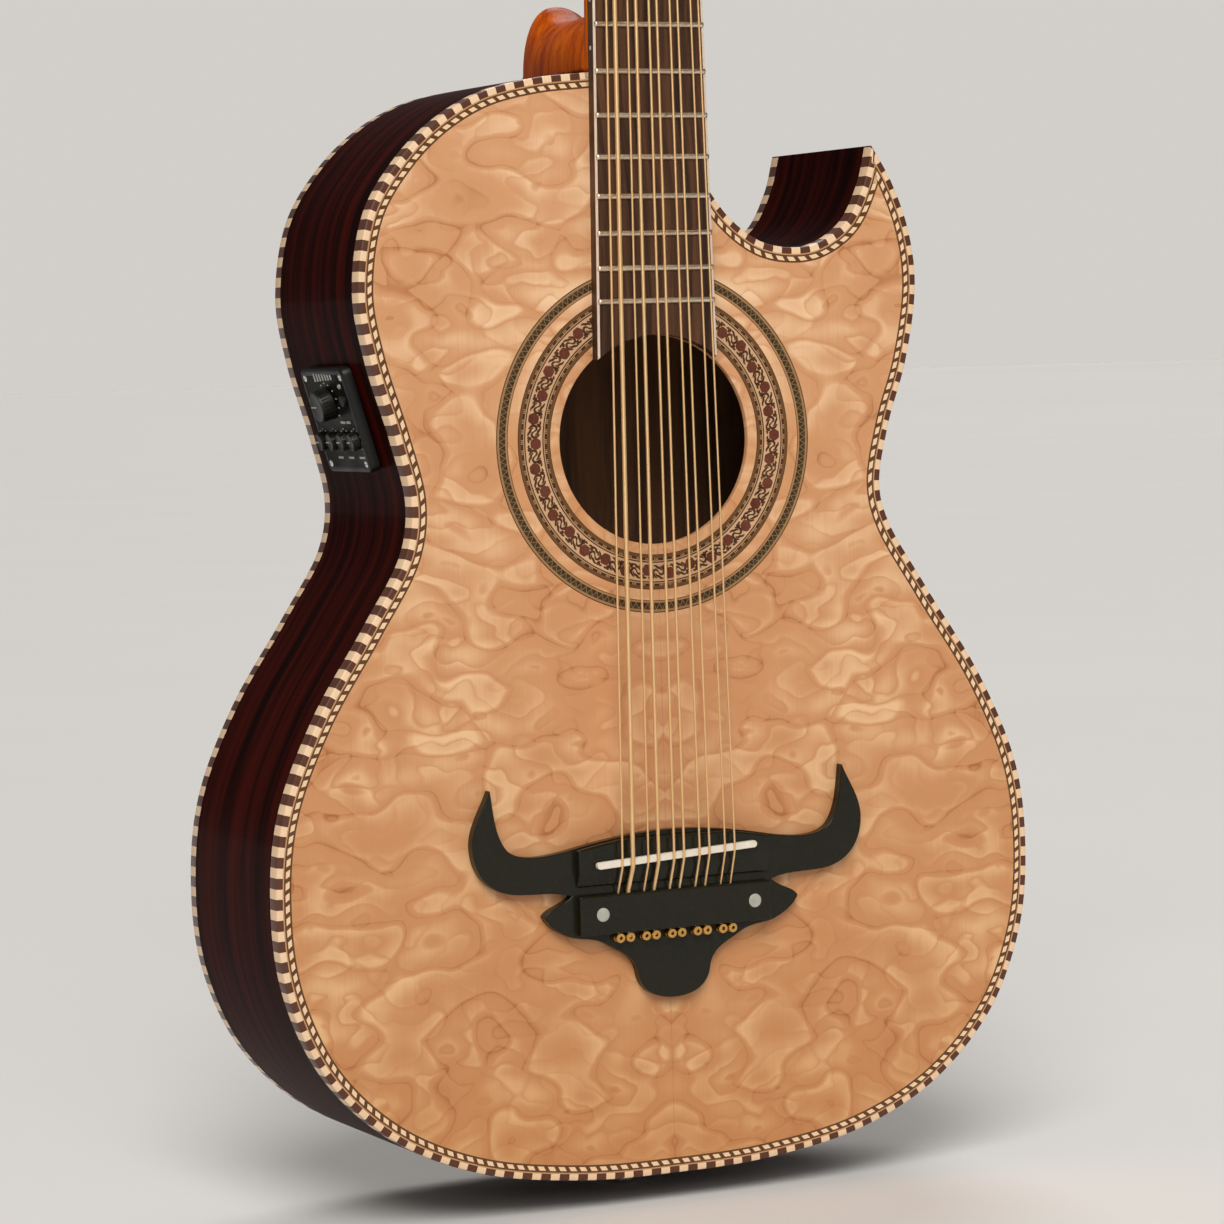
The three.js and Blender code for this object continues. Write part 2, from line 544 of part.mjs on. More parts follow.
const saddleBar = (grow, top) => {
  const g = roundedPanel(SADDLE_SEAT + (grow ? 0 : GAP), top, SADDLE_L + 2 * grow,
    SADDLE_W + 2 * grow, SADDLE_W / 2 + grow - 0.01);
  // proud direction -> -Y, length -> X
  g.applyMatrix4(new THREE.Matrix4().makeBasis(new THREE.Vector3(0, -1, 0),
    new THREE.Vector3(1, 0, 0), new THREE.Vector3(0, 0, 1)));
  return g.applyMatrix4(saddlePlace);
};
const [tieLow, tieTop] = TIE_BLOCK.map((z) => saddleZ + z);
const holeRadius = (i) => GAUGES[i] / 2 + GAP;
const tieHole = (i) => turnedZ([[0, -60], [holeRadius(i), -60], [holeRadius(i), 0], [0, 0]], 6)
  .translate(courseX(i, SADDLE_PITCH, SADDLE_PAIR), -TIE_HOLE_Y, saddleZ);
const bridgeCore = join(bridgeLayer(BRIDGE_T), block(SADDLE_BLOCK), block(TIE_BLOCK));
const strings = Array.from({ length: 2 * COURSES }, (_, i) => i);
const tieClear = (i) => common(tieHole(i),
  box(-80, 80, -50, 50, tieLow - 4, tieTop + 1));
const ramp = across([v2(-RAMP_TOP[1], RAMP_TOP[0]), v2(-RAMP_FOOT[1], RAMP_FOOT[0]),
  v2(-30, RAMP_FOOT[0])], BLOCK_HALF + 1).translate(0, 0, saddleZ);
const rampCut = common(ramp, box(-80, 80, -40, 0, tieTop + GAP, saddleZ));
node(instrument, 'bridge', 'ebony',
  cut(bridgeCore, rampCut, saddleBar(GAP, BLOCK_T + 5), ...strings.map(tieClear)));
node(instrument, 'saddle', 'bone', saddleBar(0, SADDLE_TOP));

// ---- tuners -------------------------------------------------------------------------------
const plateBack = HEAD_T + GAP + PLATE_T;
const wormY = plateBack + RUN + WORM_R;
const wormDrop = GEAR_R + WORM_R + GAP;
const postGeometry = () => turned([
  [0, -POST_FRONT], [POST_R, -POST_FRONT], [POST_R, wormY - GEAR_H / 2],
  [GEAR_R, wormY - GEAR_H / 2], [GEAR_R, wormY + GEAR_H / 2], [0, wormY + GEAR_H / 2],
], 12);
const plateX = POST_X - 7;
const keyGeometry = (sx) => {
  const shaft = turnedX([[0, plateX], [WORM_R, plateX], [WORM_R, plateX + 13],
    [SHAFT_R, plateX + 13], [SHAFT_R, KEY_X], [0, KEY_X]], 8);
  const button = new THREE.SphereGeometry(1, 12, 6).scale(...KEY_HALF).translate(KEY_X, 0, 0);
  const key = join(shaft, button);
  return sx > 0 ? key : key.rotateY(Math.PI);
};
for (const [sx, side] of sides2) {
  const x0 = sx > 0 ? plateX : -plateX - PLATE_W;
  const body = box(x0, x0 + PLATE_W, HEAD_T + GAP, plateBack,
    postZ(0) - PLATE_MARGIN, postZ(COURSES - 1) + PLATE_MARGIN + wormDrop);
  const holes = posts.filter((p) => p.sx === sx).map(({ k }) => postHole(sx, k));
  node(head, `tuner_plate_${side}`, 'steel', cut(body, ...holes));
}
for (const { sx, side, k } of posts) {
  const post = node(head, `string_post_${side}_${k + 1}`, 'steel', postGeometry());
  post.position.set(sx * POST_X, 0, postZ(k));
  const key = node(head, `tuning_key_${side}_${k + 1}`, 'steel', keyGeometry(sx));
  key.position.set(0, wormY, postZ(k) + wormDrop);
}
instrument.add(head);

// ---- strings ------------------------------------------------------------------------------
// A round string through its points: one ring of the section at each point.
function tube(points, r) {
  const legs = points.length - 1;
  const g = new THREE.ExtrudeGeometry(new THREE.Shape(circle(r, 0, 6)),
    { depth: legs, steps: legs, bevelEnabled: false });
  const rings = points.map((p, i) => {
    const [a, b] = [points[Math.max(i - 1, 0)], points[Math.min(i + 1, legs)]];
    const along = b.clone().sub(a).normalize();
    const across1 = new THREE.Vector3(1, 0, 0).addScaledVector(along, -along.x).normalize();
    return [p, across1, along.clone().cross(across1)];
  });
  const pos = g.attributes.position;
  for (let i = 0; i < pos.count; i += 1) {
    const [p, u, w] = rings[Math.round(pos.getZ(i))];
    const q = p.clone().addScaledVector(u, pos.getX(i)).addScaledVector(w, pos.getY(i));
    pos.setXYZ(i, q.x, q.y, q.z);
  }
  return g;
}
const lift = (r) => r + 0.12;
for (const i of strings) {
  const r = GAUGES[i] / 2;
  const sx = i < COURSES ? -1 : 1;
  const k = i < COURSES ? i : 2 * COURSES - 1 - i;
  const xs = courseX(i, SADDLE_PITCH, SADDLE_PAIR);
  const top = saddleZ + xs * slant;
  const wind = new THREE.Vector3(sx * (POST_X - POST_R - lift(r)), -WRAP_H, postZ(k) + POST_R)
    .applyMatrix4(head.matrix);
  const nutX = courseX(i, NUT_PITCH, NUT_PAIR);
  const points = [
    new THREE.Vector3(courseX(i, SADDLE_PITCH, SADDLE_PAIR), -TIE_HOLE_Y, tieLow - 1.5),
    new THREE.Vector3(courseX(i, SADDLE_PITCH, SADDLE_PAIR), -TIE_HOLE_Y, tieTop + 1),
    new THREE.Vector3(xs, -SADDLE_TOP - lift(r), top - 1.2),
    new THREE.Vector3(xs, -SADDLE_TOP - lift(r), top + 1.2),
    new THREE.Vector3(nutX, -nutTop - lift(r), NUT_Z),
    new THREE.Vector3(nutX, -nutTop - lift(r), NUT_Z + NUT_T),
    wind,
  ];
  node(instrument, `string_${i + 1}`, 'bronze', tube(points, r));
}

// ---- pickup panel -------------------------------------------------------------------------
const face = -PANEL_SEAT - PANEL[0];
const flange = roundedPanel(face, -PANEL_SEAT, PANEL[1], PANEL[2], PANEL_R);
const housing = box(-PANEL_SEAT - 1, HOUSING[0], -HOUSING[1] / 2, HOUSING[1] / 2,
  -HOUSING[2] / 2, HOUSING[2] / 2);
const stemHole = (y, z) => turnedX([[0, 0], [STEM_R + RUN, 0], [STEM_R + RUN, 8], [0, 8]], 10)
  .translate(face - 5, y, z);
const buttonRod = (r, x0, x1) => turnedX([[0, x0], [r, x0], [r, x1], [0, x1]], 16);
const buttonWell = buttonRod(BUTTON.r + RUN, -1, BUTTON.sunk + BUTTON.travel + GAP)
  .translate(face, BUTTON.y, BUTTON.z);
const eqY = (k) => EQ.first + EQ.pitch * k;
const bands = ['treble', 'middle', 'bass', 'presence'];
node(panelGroup, 'preamp_panel', 'plastic', cut(join(flange, housing),
  stemHole(VOLUME.y, VOLUME.z), buttonWell,
  ...bands.map((_, k) => stemHole(eqY(k), EQ.z))));
const knob = (r, h, stem) => turnedX([
  [0, -h - GAP], [r * 0.9, -h - GAP], [r, -h - GAP + r * 0.12], [r, -GAP],
  [STEM_R, -GAP], [STEM_R, stem], [0, stem],
], r > 5 ? 24 : 16);
const placed = (name, y, z, geometry) =>
  node(panelGroup, name, 'plastic', geometry).position.set(face, y, z);
placed('volume_knob', VOLUME.y, VOLUME.z, knob(VOLUME.r, VOLUME.h, STEM_L));
bands.forEach((band, k) => placed(`${band}_knob`, eqY(k), EQ.z, knob(EQ.r, EQ.h, STEM_L)));
placed('tuner_button', BUTTON.y, BUTTON.z, buttonRod(BUTTON.r, -BUTTON.proud, BUTTON.sunk));
instrument.add(panelGroup);

const root = new THREE.Group();
root.add(instrument);
export default root;
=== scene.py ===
"""Visual model of a ten-string bajo quinto: cutaway body with a quilted top, checkered binding,
bull's-head bridge and a pickup panel in the bass rib.

Millimetres in the instrument's own frame: Y = 0 is the soundboard's face, Z = 0 the lowest
point of the rim, X runs to the treble side. `Place` carries every point to the row frame.
"""

import json
import logging
import math
from dataclasses import dataclass, field
from enum import Enum
from typing import Callable, Iterable, Sequence

import bmesh
import bpy
import numpy as np
from mathutils import Matrix, Vector

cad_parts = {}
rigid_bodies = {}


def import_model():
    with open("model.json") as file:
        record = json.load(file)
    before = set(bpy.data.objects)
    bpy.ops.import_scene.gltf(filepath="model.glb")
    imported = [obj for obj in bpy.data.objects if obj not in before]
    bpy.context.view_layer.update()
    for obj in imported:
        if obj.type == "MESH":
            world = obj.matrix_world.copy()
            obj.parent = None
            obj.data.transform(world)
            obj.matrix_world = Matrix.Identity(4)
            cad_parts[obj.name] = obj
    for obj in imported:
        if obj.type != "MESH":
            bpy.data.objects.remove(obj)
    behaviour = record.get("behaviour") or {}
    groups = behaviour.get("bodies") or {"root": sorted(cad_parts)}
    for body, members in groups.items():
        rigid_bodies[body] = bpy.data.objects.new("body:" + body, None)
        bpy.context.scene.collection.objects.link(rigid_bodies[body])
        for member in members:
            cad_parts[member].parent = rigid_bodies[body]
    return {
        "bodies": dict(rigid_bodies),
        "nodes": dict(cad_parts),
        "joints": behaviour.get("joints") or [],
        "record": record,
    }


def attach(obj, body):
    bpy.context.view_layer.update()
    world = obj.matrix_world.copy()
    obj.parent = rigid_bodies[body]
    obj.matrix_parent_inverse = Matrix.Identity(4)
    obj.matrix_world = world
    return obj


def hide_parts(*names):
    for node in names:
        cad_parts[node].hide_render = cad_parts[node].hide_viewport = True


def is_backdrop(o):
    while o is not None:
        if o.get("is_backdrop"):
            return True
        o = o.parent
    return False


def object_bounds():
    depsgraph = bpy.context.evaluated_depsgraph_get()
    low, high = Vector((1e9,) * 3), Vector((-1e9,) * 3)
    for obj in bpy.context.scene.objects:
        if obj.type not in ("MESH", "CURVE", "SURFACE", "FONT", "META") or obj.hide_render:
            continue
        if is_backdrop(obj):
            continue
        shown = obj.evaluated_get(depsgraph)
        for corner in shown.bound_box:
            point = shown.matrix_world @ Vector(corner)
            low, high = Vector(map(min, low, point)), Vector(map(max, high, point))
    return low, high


log = logging.getLogger("bajo_quinto")
Points = np.ndarray
Socket = bpy.types.NodeSocket
Shape = tuple[list, list]

MM = 0.001
ROOT = "instrument"


# ---- frames ---------------------------------------------------------------------------------
@dataclass(frozen=True)
class Place:
    """A local frame in millimetres, given by its matrix into the instrument's frame."""

    matrix: Matrix

    def put(self, points: Iterable[Sequence[float]]) -> Points:
        """Points of this frame as row-frame metres."""
        local = np.asarray(list(points), float).reshape(-1, 3)
        turn = np.array(self.matrix)
        body = local @ turn[:3, :3].T + turn[:3, 3]
        return (body + np.array(ROW_SHIFT)) * MM

    def then(self, x: float, y: float, z: float, turn: Matrix | None = None) -> "Place":
        """The same frame moved by x, y, z of its own axes, then turned.

        Args:
            x, y, z: The move.
            turn: A rotation applied inside the moved frame.

        Returns:
            The new frame.
        """
        moved = self.matrix @ Matrix.Translation((x, y, z))
        return Place(moved @ turn if turn else moved)


ROW_SHIFT = (0.0, -53.75, 12.0)
HEAD_ANGLE = math.radians(13)
HEAD_FOOT = 806.0
PANEL_LEAN = math.radians(-16.44)
BODY = Place(Matrix.Identity(4))
HEAD = Place(Matrix.Translation((0, 0, HEAD_FOOT)) @ Matrix.Rotation(-HEAD_ANGLE, 4, "X"))
PANEL = Place(Matrix.Translation((-122.33, 45.3, 329.0)) @ Matrix.Rotation(PANEL_LEAN, 4, "Y"))
TO_Y = Matrix.Rotation(math.radians(90), 4, "X")     # local Z -> -Y
TO_X = Matrix.Rotation(math.radians(90), 4, "Y")     # local Z -> +X


# ---- shader and geometry node helpers ---------------------------------------------------------
def srgb(red: int, green: int, blue: int) -> tuple[float, float, float, float]:
    """A display colour, 0 to 255, as linear RGBA."""
    parts = [c / 255 for c in (red, green, blue)]
    linear = (c / 12.92 if c <= 0.04045 else ((c + 0.055) / 1.055) ** 2.4 for c in parts)
    return tuple(linear) + (1.0,)


class Kit:
    """Adds nodes to one tree; an input is a plain value or another node's output."""

    def __init__(self, tree: bpy.types.NodeTree) -> None:
        """Works on the given tree."""
        self.tree = tree

    def node(self, kind: str, inputs: dict | None = None, **settings: object) -> bpy.types.Node:
        """Adds a node.

        Args:
            kind: The node's type name.
            inputs: Values or sockets by input name or index.
            settings: Properties of the node itself.

        Returns:
            The node.
        """
        made = self.tree.nodes.new(kind)
        for key, value in settings.items():
            setattr(made, key, value)
        for key, value in (inputs or {}).items():
            if isinstance(value, bpy.types.NodeSocket):
                self.tree.links.new(value, made.inputs[key])
            else:
                made.inputs[key].default_value = value
        return made

    def math(self, operation: str, a: object, b: object = 0.0, c: object = 0.0) -> Socket:
        """The result of a Math node."""
        inputs = {0: a, 1: b, 2: c}
        return self.node("ShaderNodeMath", inputs, operation=operation).outputs[0]

    def mix(self, share: object, a: object, b: object, blend: str = "MIX") -> Socket:
        """Two colours mixed by share."""
        made = self.node("ShaderNodeMix", {0: share, 6: a, 7: b}, data_type="RGBA",
                         blend_type=blend)
        return made.outputs[2]

    def ramp(self, value: Socket, stops: Sequence[tuple[float, tuple]],
             steps: bool = False) -> Socket:
        """A colour ramp over value.

        Args:
            value: The number looked up.
            stops: Positions and colours.
            steps: Hard steps instead of a smooth ramp.

        Returns:
            The colour.
        """
        made = self.node("ShaderNodeValToRGB", {0: value})
        ramp = made.color_ramp
        ramp.interpolation = "CONSTANT" if steps else "EASE"
        while len(ramp.elements) < len(stops):
            ramp.elements.new(1.0)
        for element, (position, colour) in zip(ramp.elements, stops):
            element.position = position
            element.color = colour
        return made.outputs[0]

    def noise(self, vector: Socket, scale: float, detail: float = 3.0, rough: float = 0.55,
              colour: bool = False) -> Socket:
        """Noise at vector, as a number or as a colour."""
        made = self.node("ShaderNodeTexNoise", {"Vector": vector, "Scale": scale,
                                                "Detail": detail, "Roughness": rough})
        return made.outputs["Color" if colour else 0]

    def within(self, value: Socket, low: float, high: float) -> Socket:
        """1 where value lies between low and high, else 0."""
        middle = (low + high) / 2
        return self.math("COMPARE", value, middle, (high - low) / 2)

    def spread(self, value: Socket, low: float, high: float, to_low: float,
               to_high: float) -> Socket:
        """value mapped from one span to another, clamped."""
        return self.node("ShaderNodeMapRange", {0: value, 1: low, 2: high, 3: to_low,
                                                4: to_high}).outputs[0]


@dataclass(frozen=True)
class Finish:
    """A procedural surface; subclasses paint its colour and relief."""

    name: str
    roughness: float = 0.4
    metallic: float = 0.0
    coat: float = 0.0
    coat_roughness: float = 0.04
    ior: float = 1.45

    def paint(self, kit: Kit, place: Socket, surface: bpy.types.Node) -> None:
        """Links colour, roughness and relief; place is the Object coordinate in metres."""
        raise NotImplementedError

    def material(self) -> bpy.types.Material:
        """The material, made once and shared."""
        title = f"finish_{self.name}"
        known = bpy.data.materials.get(title)
        if known:
            return known
        made = bpy.data.materials.new(title)
        made.use_nodes = True
        surface = made.node_tree.nodes["Principled BSDF"]
        surface.inputs["Roughness"].default_value = self.roughness
        surface.inputs["Metallic"].default_value = self.metallic
        surface.inputs["Coat Weight"].default_value = self.coat
        surface.inputs["Coat Roughness"].default_value = self.coat_roughness
        surface.inputs["IOR"].default_value = self.ior
        kit = Kit(made.node_tree)
        place = kit.node("ShaderNodeTexCoord").outputs["Object"]
        self.paint(kit, place, surface)
        return made


def stretched(kit: Kit, place: Socket, scale: tuple[float, float, float],
              shift: tuple[float, float, float] = (0, 0, 0)) -> Socket:
    """place moved by shift and then scaled along each axis."""
    moved = kit.node("ShaderNodeVectorMath", {0: place, 1: shift}, operation="ADD").outputs[0]
    return kit.node("ShaderNodeVectorMath", {0: moved, 1: scale},
                    operation="MULTIPLY").outputs[0]


def relief(kit: Kit, surface: bpy.types.Node, height: Socket, depth: float,
           strength: float = 1.0) -> None:
    """Gives the surface a bump of height, depth metres deep."""
    bump = kit.node("ShaderNodeBump", {"Height": height, "Distance": depth,
                                       "Strength": strength})
    kit.tree.links.new(bump.outputs[0], surface.inputs["Normal"])


def use(kit: Kit, surface: bpy.types.Node, name: str, value: Socket) -> None:
    """Links value to one of the surface's inputs."""
    kit.tree.links.new(value, surface.inputs[name])


@dataclass(frozen=True)
class QuiltedMaple(Finish):
    """Bookmatched quilted maple under clear lacquer: pillows, their soft edges, fine fibres."""

    deep: tuple = srgb(176, 110, 62)
    middle: tuple = srgb(211, 155, 110)
    light: tuple = srgb(242, 204, 164)
    # tip and foot: painted shade by height, none at the neck end, darker and warmer at the tail.
    tip: tuple = srgb(255, 253, 250)
    foot: tuple = srgb(232, 214, 184)
    bands: float = 4.0
    edge_share: float = 0.22

    def folds(self, kit: Kit, book: Socket, scale: float, bend: float, seed: float) -> Socket:
        """One layer of the figure: rounded folds, each dark at its edge and light inside.

        Args:
            kit: The tree's kit.
            book: Bookmatched coordinate, X and height.
            scale: Folds per metre, roughly.
            bend: How far the folds wander, in metres.
            seed: Shifts the layer.

        Returns:
            The layer's tone, from -0.75 to 0.45.
        """
        at = stretched(kit, book, (1, 1, 0), (seed, seed * 1.7, 0))
        warp = kit.noise(at, scale * 1.1, 1.0, 0.5, colour=True)
        push = stretched(kit, warp, (bend, bend, 0.0), (-0.5, -0.5, -0.5))
        at = kit.node("ShaderNodeVectorMath", {0: at, 1: push}, operation="ADD").outputs[0]
        field = kit.noise(stretched(kit, at, (0.8, 1.25, 0.0)), scale, 0.6, 0.4)
        saw = kit.math("FRACT", kit.math("MULTIPLY", field, self.bands))
        rise = kit.spread(saw, 0.0, self.edge_share, -0.75, 0.45)
        return kit.math("SUBTRACT", rise, kit.spread(saw, self.edge_share, 1.0, 0.0, 0.65))

    def paint(self, kit: Kit, place: Socket, surface: bpy.types.Node) -> None:
        """Colours by two layers of folds, slow clouds and fine fibres, then multiplies in painted
        shade by height: darker and warmer towards the tail.
        """
        axes = kit.node("ShaderNodeSeparateXYZ", {0: place})
        mirrored = kit.node("ShaderNodeCombineXYZ",
                            {0: kit.math("ABSOLUTE", axes.outputs[0]), 1: axes.outputs[2]})
        book = mirrored.outputs[0]
        patch = kit.spread(kit.noise(book, 22.0, 2.0), 0.40, 0.58, 0.25, 1.0)
        tone = kit.math("MULTIPLY_ADD", self.folds(kit, book, 36.0, 0.011, 0.0), 0.34, 0.55)
        small = kit.math("MULTIPLY", self.folds(kit, book, 70.0, 0.006, 3.1), patch)
        tone = kit.math("MULTIPLY_ADD", small, 0.26, tone)
        tone = kit.math("MULTIPLY_ADD", kit.noise(book, 15.0, 2.0), 0.9,
                        kit.math("SUBTRACT", tone, 0.45))
        fibre = kit.noise(stretched(kit, book, (950.0, 26.0, 0.0)), 1.0, 2.0)
        tone = kit.math("MULTIPLY_ADD", fibre, 0.10, kit.math("SUBTRACT", tone, 0.05))
        colour = kit.ramp(tone, [(0.05, self.deep), (0.5, self.middle), (0.95, self.light)])
        seam = kit.within(axes.outputs[0], -0.00018, 0.00018)
        colour = kit.mix(kit.math("MULTIPLY", seam, 0.35), colour, self.deep)
        # Painted shade: the colour is multiplied darker and warmer towards the tail end of the top.
        height = kit.spread(axes.outputs[2], 0.02, 0.46, 0.0, 1.0)
        painted_height_shade = kit.mix(height, self.foot, self.tip)
        use(kit, surface, "Base Color", kit.mix(1.0, colour, painted_height_shade, "MULTIPLY"))
        relief(kit, surface, fibre, 0.00002, 0.25)


@dataclass(frozen=True)
class StreakedWood(Finish):
    """Wood with long streaks and open pores along one axis."""

    dark: tuple = srgb(30, 8, 6)
    light: tuple = srgb(84, 26, 18)
    across: tuple[float, float, float] = (90.0, 90.0, 3.0)
    pores: float = 0.3
    mirrored: bool = False

    def paint(self, kit: Kit, place: Socket, surface: bpy.types.Node) -> None:
        """Streaks of two widths, then pores in colour and relief."""
        if self.mirrored:
            axes = kit.node("ShaderNodeSeparateXYZ", {0: place})
            place = kit.node("ShaderNodeCombineXYZ",
                             {0: kit.math("ABSOLUTE", axes.outputs[0]), 1: axes.outputs[1],
                              2: axes.outputs[2]}).outputs[0]
        warp = kit.noise(place, 7.0, 2.0, colour=True)
        bent = kit.node("ShaderNodeVectorMath",
                        {0: place, 1: stretched(kit, warp, (0.02, 0.02, 0.02))},
                        operation="ADD").outputs[0]
        broad = kit.noise(stretched(kit, bent, self.across), 1.0, 3.0)
        fine = kit.noise(stretched(kit, bent, tuple(6 * a for a in self.across)), 1.0, 3.0)
        tone = kit.math("MULTIPLY_ADD", fine, 0.35, kit.math("MULTIPLY", broad, 0.75))
        colour = kit.ramp(tone, [(0.36, self.dark), (0.74, self.light)])
        pore = kit.noise(stretched(kit, place, tuple(22 * a for a in self.across)), 1.0, 2.0)
        deep = kit.spread(pore, 0.62, 0.74, 0.0, self.pores)
        use(kit, surface, "Base Color", kit.mix(deep, colour, self.dark, "MIX"))
        relief(kit, surface, kit.math("SUBTRACT", 1.0, deep), 0.00005, 0.35)


@dataclass(frozen=True)
class RibWood(Finish):
    """The ribs' dark lacquered wood; its streaks follow the bend, read from `along`."""

    dark: tuple = srgb(15, 4, 3)
    light: tuple = srgb(62, 14, 8)

    def paint(self, kit: Kit, place: Socket, surface: bpy.types.Node) -> None:
        """Streaks that run round the rim, wandering slowly in depth."""
        along = kit.node("ShaderNodeAttribute", attribute_name="along").outputs["Fac"]
        depth = kit.node("ShaderNodeSeparateXYZ", {0: place}).outputs[1]
        flow = kit.node("ShaderNodeCombineXYZ", {0: kit.math("MULTIPLY", along, 0.0035),
                                                 1: kit.math("MULTIPLY", depth, 120.0)})
        broad = kit.noise(flow.outputs[0], 1.0, 4.0)
        thin = kit.noise(stretched(kit, flow.outputs[0], (4.0, 6.5, 1.0)), 1.0, 3.0)
        tone = kit.math("MULTIPLY_ADD", thin, 0.25, kit.math("MULTIPLY", broad, 0.85))
        use(kit, surface, "Base Color", kit.ramp(tone, [(0.38, self.dark), (0.75, self.light)]))
        relief(kit, surface, thin, 0.00003, 0.2)


@dataclass(frozen=True)
class CheckerBinding(Finish):
    """Blocks of cream and brown wood round a corner, read from `along` in millimetres."""

    pitch: float = 8.75
    cream: tuple = srgb(240, 206, 168)
    brown: tuple = srgb(74, 40, 25)

    def paint(self, kit: Kit, place: Socket, surface: bpy.types.Node) -> None:
        """Alternating blocks with their own grain and a thin glue line between them."""
        along = kit.node("ShaderNodeAttribute", attribute_name="along").outputs["Fac"]
        turn = kit.math("FRACT", kit.math("DIVIDE", along, self.pitch))
        grain = kit.noise(stretched(kit, place, (900.0, 300.0, 900.0)), 1.0, 3.0)
        pale = kit.mix(kit.math("MULTIPLY", grain, 0.35), self.cream, srgb(205, 158, 112))
        dark = kit.mix(kit.math("MULTIPLY", grain, 0.6), self.brown, srgb(112, 66, 44))
        colour = kit.mix(kit.math("LESS_THAN", turn, 0.5), dark, pale)
        glue = kit.math("LESS_THAN", kit.math("FRACT", kit.math("MULTIPLY", turn, 2.0)), 0.04)
        use(kit, surface, "Base Color", kit.mix(glue, colour, srgb(50, 28, 18)))
        relief(kit, surface, kit.math("SUBTRACT", 1.0, glue), 0.00003, 0.3)


@dataclass(frozen=True)
class RopePurfling(Finish):
    """Thin lines and a rope of slanted cream blocks, read from `along` and `across`."""

    pitch: float = 4.95
    line_end: float = 3.45
    rope: tuple[float, float] = (4.15, 5.9)
    cream: tuple = srgb(236, 200, 158)
    brown: tuple = srgb(82, 48, 22)

    def paint(self, kit: Kit, place: Socket, surface: bpy.types.Node) -> None:
        """A tan line, then a brown band that carries the slanted blocks."""
        along = kit.node("ShaderNodeAttribute", attribute_name="along").outputs["Fac"]
        across = kit.node("ShaderNodeAttribute", attribute_name="across").outputs["Fac"]
        grain = kit.noise(stretched(kit, place, (700.0, 100.0, 700.0)), 1.0, 3.0)
        slanted = kit.math("MULTIPLY_ADD", across, 0.7, along)
        turn = kit.math("FRACT", kit.math("DIVIDE", slanted, self.pitch))
        block = kit.math("MULTIPLY", kit.math("LESS_THAN", turn, 0.6),
                         kit.within(across, *self.rope))
        brown = kit.mix(kit.math("MULTIPLY", grain, 0.5), self.brown, srgb(120, 76, 40))
        colour = kit.mix(block, brown, self.cream)
        line = kit.math("LESS_THAN", across, self.line_end)
        use(kit, surface, "Base Color", kit.mix(line, colour, srgb(190, 142, 98)))


class RingStyle(Enum):
    """Patterns of the rosette's narrow rings."""

    ZIGZAG = "zigzag"
    DASHES_IN = "dashes towards the hole"
    DASHES_OUT = "dashes away from the hole"


@dataclass(frozen=True)
class MosaicRing(Finish):
    """A narrow ring of the rosette, patterned in radius and angle round the soundhole."""

    centre: tuple[float, float, float] = (0.0, 0.0, 0.3275)
    inner: float = 49.3
    outer: float = 53.1
    repeats: int = 96
    style: RingStyle = RingStyle.ZIGZAG
    dark: tuple = srgb(50, 31, 20)
    cream: tuple = srgb(186, 144, 104)
    olive: tuple = srgb(102, 68, 40)

    def zigzag(self, kit: Kit, share: Socket, steps: Socket) -> Socket:
        """A pale zigzag line over a dark ground, between cream and dark lines."""
        wave = kit.math("MULTIPLY_ADD", kit.math("PINGPONG", steps, 0.5), 0.96, 0.235)
        over = kit.math("SUBTRACT", share, wave)
        body = kit.mix(kit.math("GREATER_THAN", over, 0.0), srgb(46, 34, 22), srgb(62, 48, 32))
        body = kit.mix(kit.within(over, -0.055, 0.055), body, srgb(132, 108, 76))
        body = kit.mix(kit.within(share, 0.05, 0.21), body, srgb(168, 124, 82))
        body = kit.mix(kit.within(share, 0.74, 0.92), body, srgb(158, 120, 80))
        body = kit.mix(kit.math("LESS_THAN", share, 0.05), body, self.dark)
        return kit.mix(kit.math("GREATER_THAN", share, 0.92), body, self.dark)

    def dashes(self, kit: Kit, share: Socket, steps: Socket) -> Socket:
        """An olive band, a row of dashes and ticks, then cream and dark lines."""
        dash = kit.math("LESS_THAN", kit.math("FRACT", steps), 0.5)
        tick = kit.math("LESS_THAN", kit.math("FRACT", kit.math("MULTIPLY", steps, 6.0)), 0.5)
        row = kit.mix(kit.math("MAXIMUM", dash, tick), self.cream, self.dark)
        body = kit.mix(kit.within(share, 0.40, 0.62), self.olive, row)
        body = kit.mix(kit.within(share, 0.66, 0.77), body, self.cream)
        body = kit.mix(kit.within(share, 0.77, 0.90), body, self.dark)
        body = kit.mix(kit.math("LESS_THAN", share, 0.06), body, self.dark)
        return kit.mix(kit.math("GREATER_THAN", share, 0.90), body, srgb(208, 164, 128))

    def paint(self, kit: Kit, place: Socket, surface: bpy.types.Node) -> None:
        """Works out radius and angle, then draws the ring's style over a fine grain."""
        local = stretched(kit, place, (1, 0, 1), tuple(-c for c in self.centre))
        axes = kit.node("ShaderNodeSeparateXYZ", {0: local})
        radius = kit.node("ShaderNodeVectorMath", {0: local}, operation="LENGTH").outputs["Value"]
        angle = kit.math("ARCTAN2", axes.outputs[2], axes.outputs[0])
        ends = (1.0, 0.0) if self.style is RingStyle.DASHES_IN else (0.0, 1.0)
        share = kit.spread(radius, self.inner * MM, self.outer * MM, *ends)
        steps = kit.math("MULTIPLY", angle, self.repeats / math.tau)
        draw = self.zigzag if self.style is RingStyle.ZIGZAG else self.dashes
        grain = kit.noise(place, 2400.0, 2.0)
        colour = kit.mix(kit.math("MULTIPLY", grain, 0.22), draw(kit, share, steps),
                         srgb(128, 96, 60))
        use(kit, surface, "Base Color", colour)


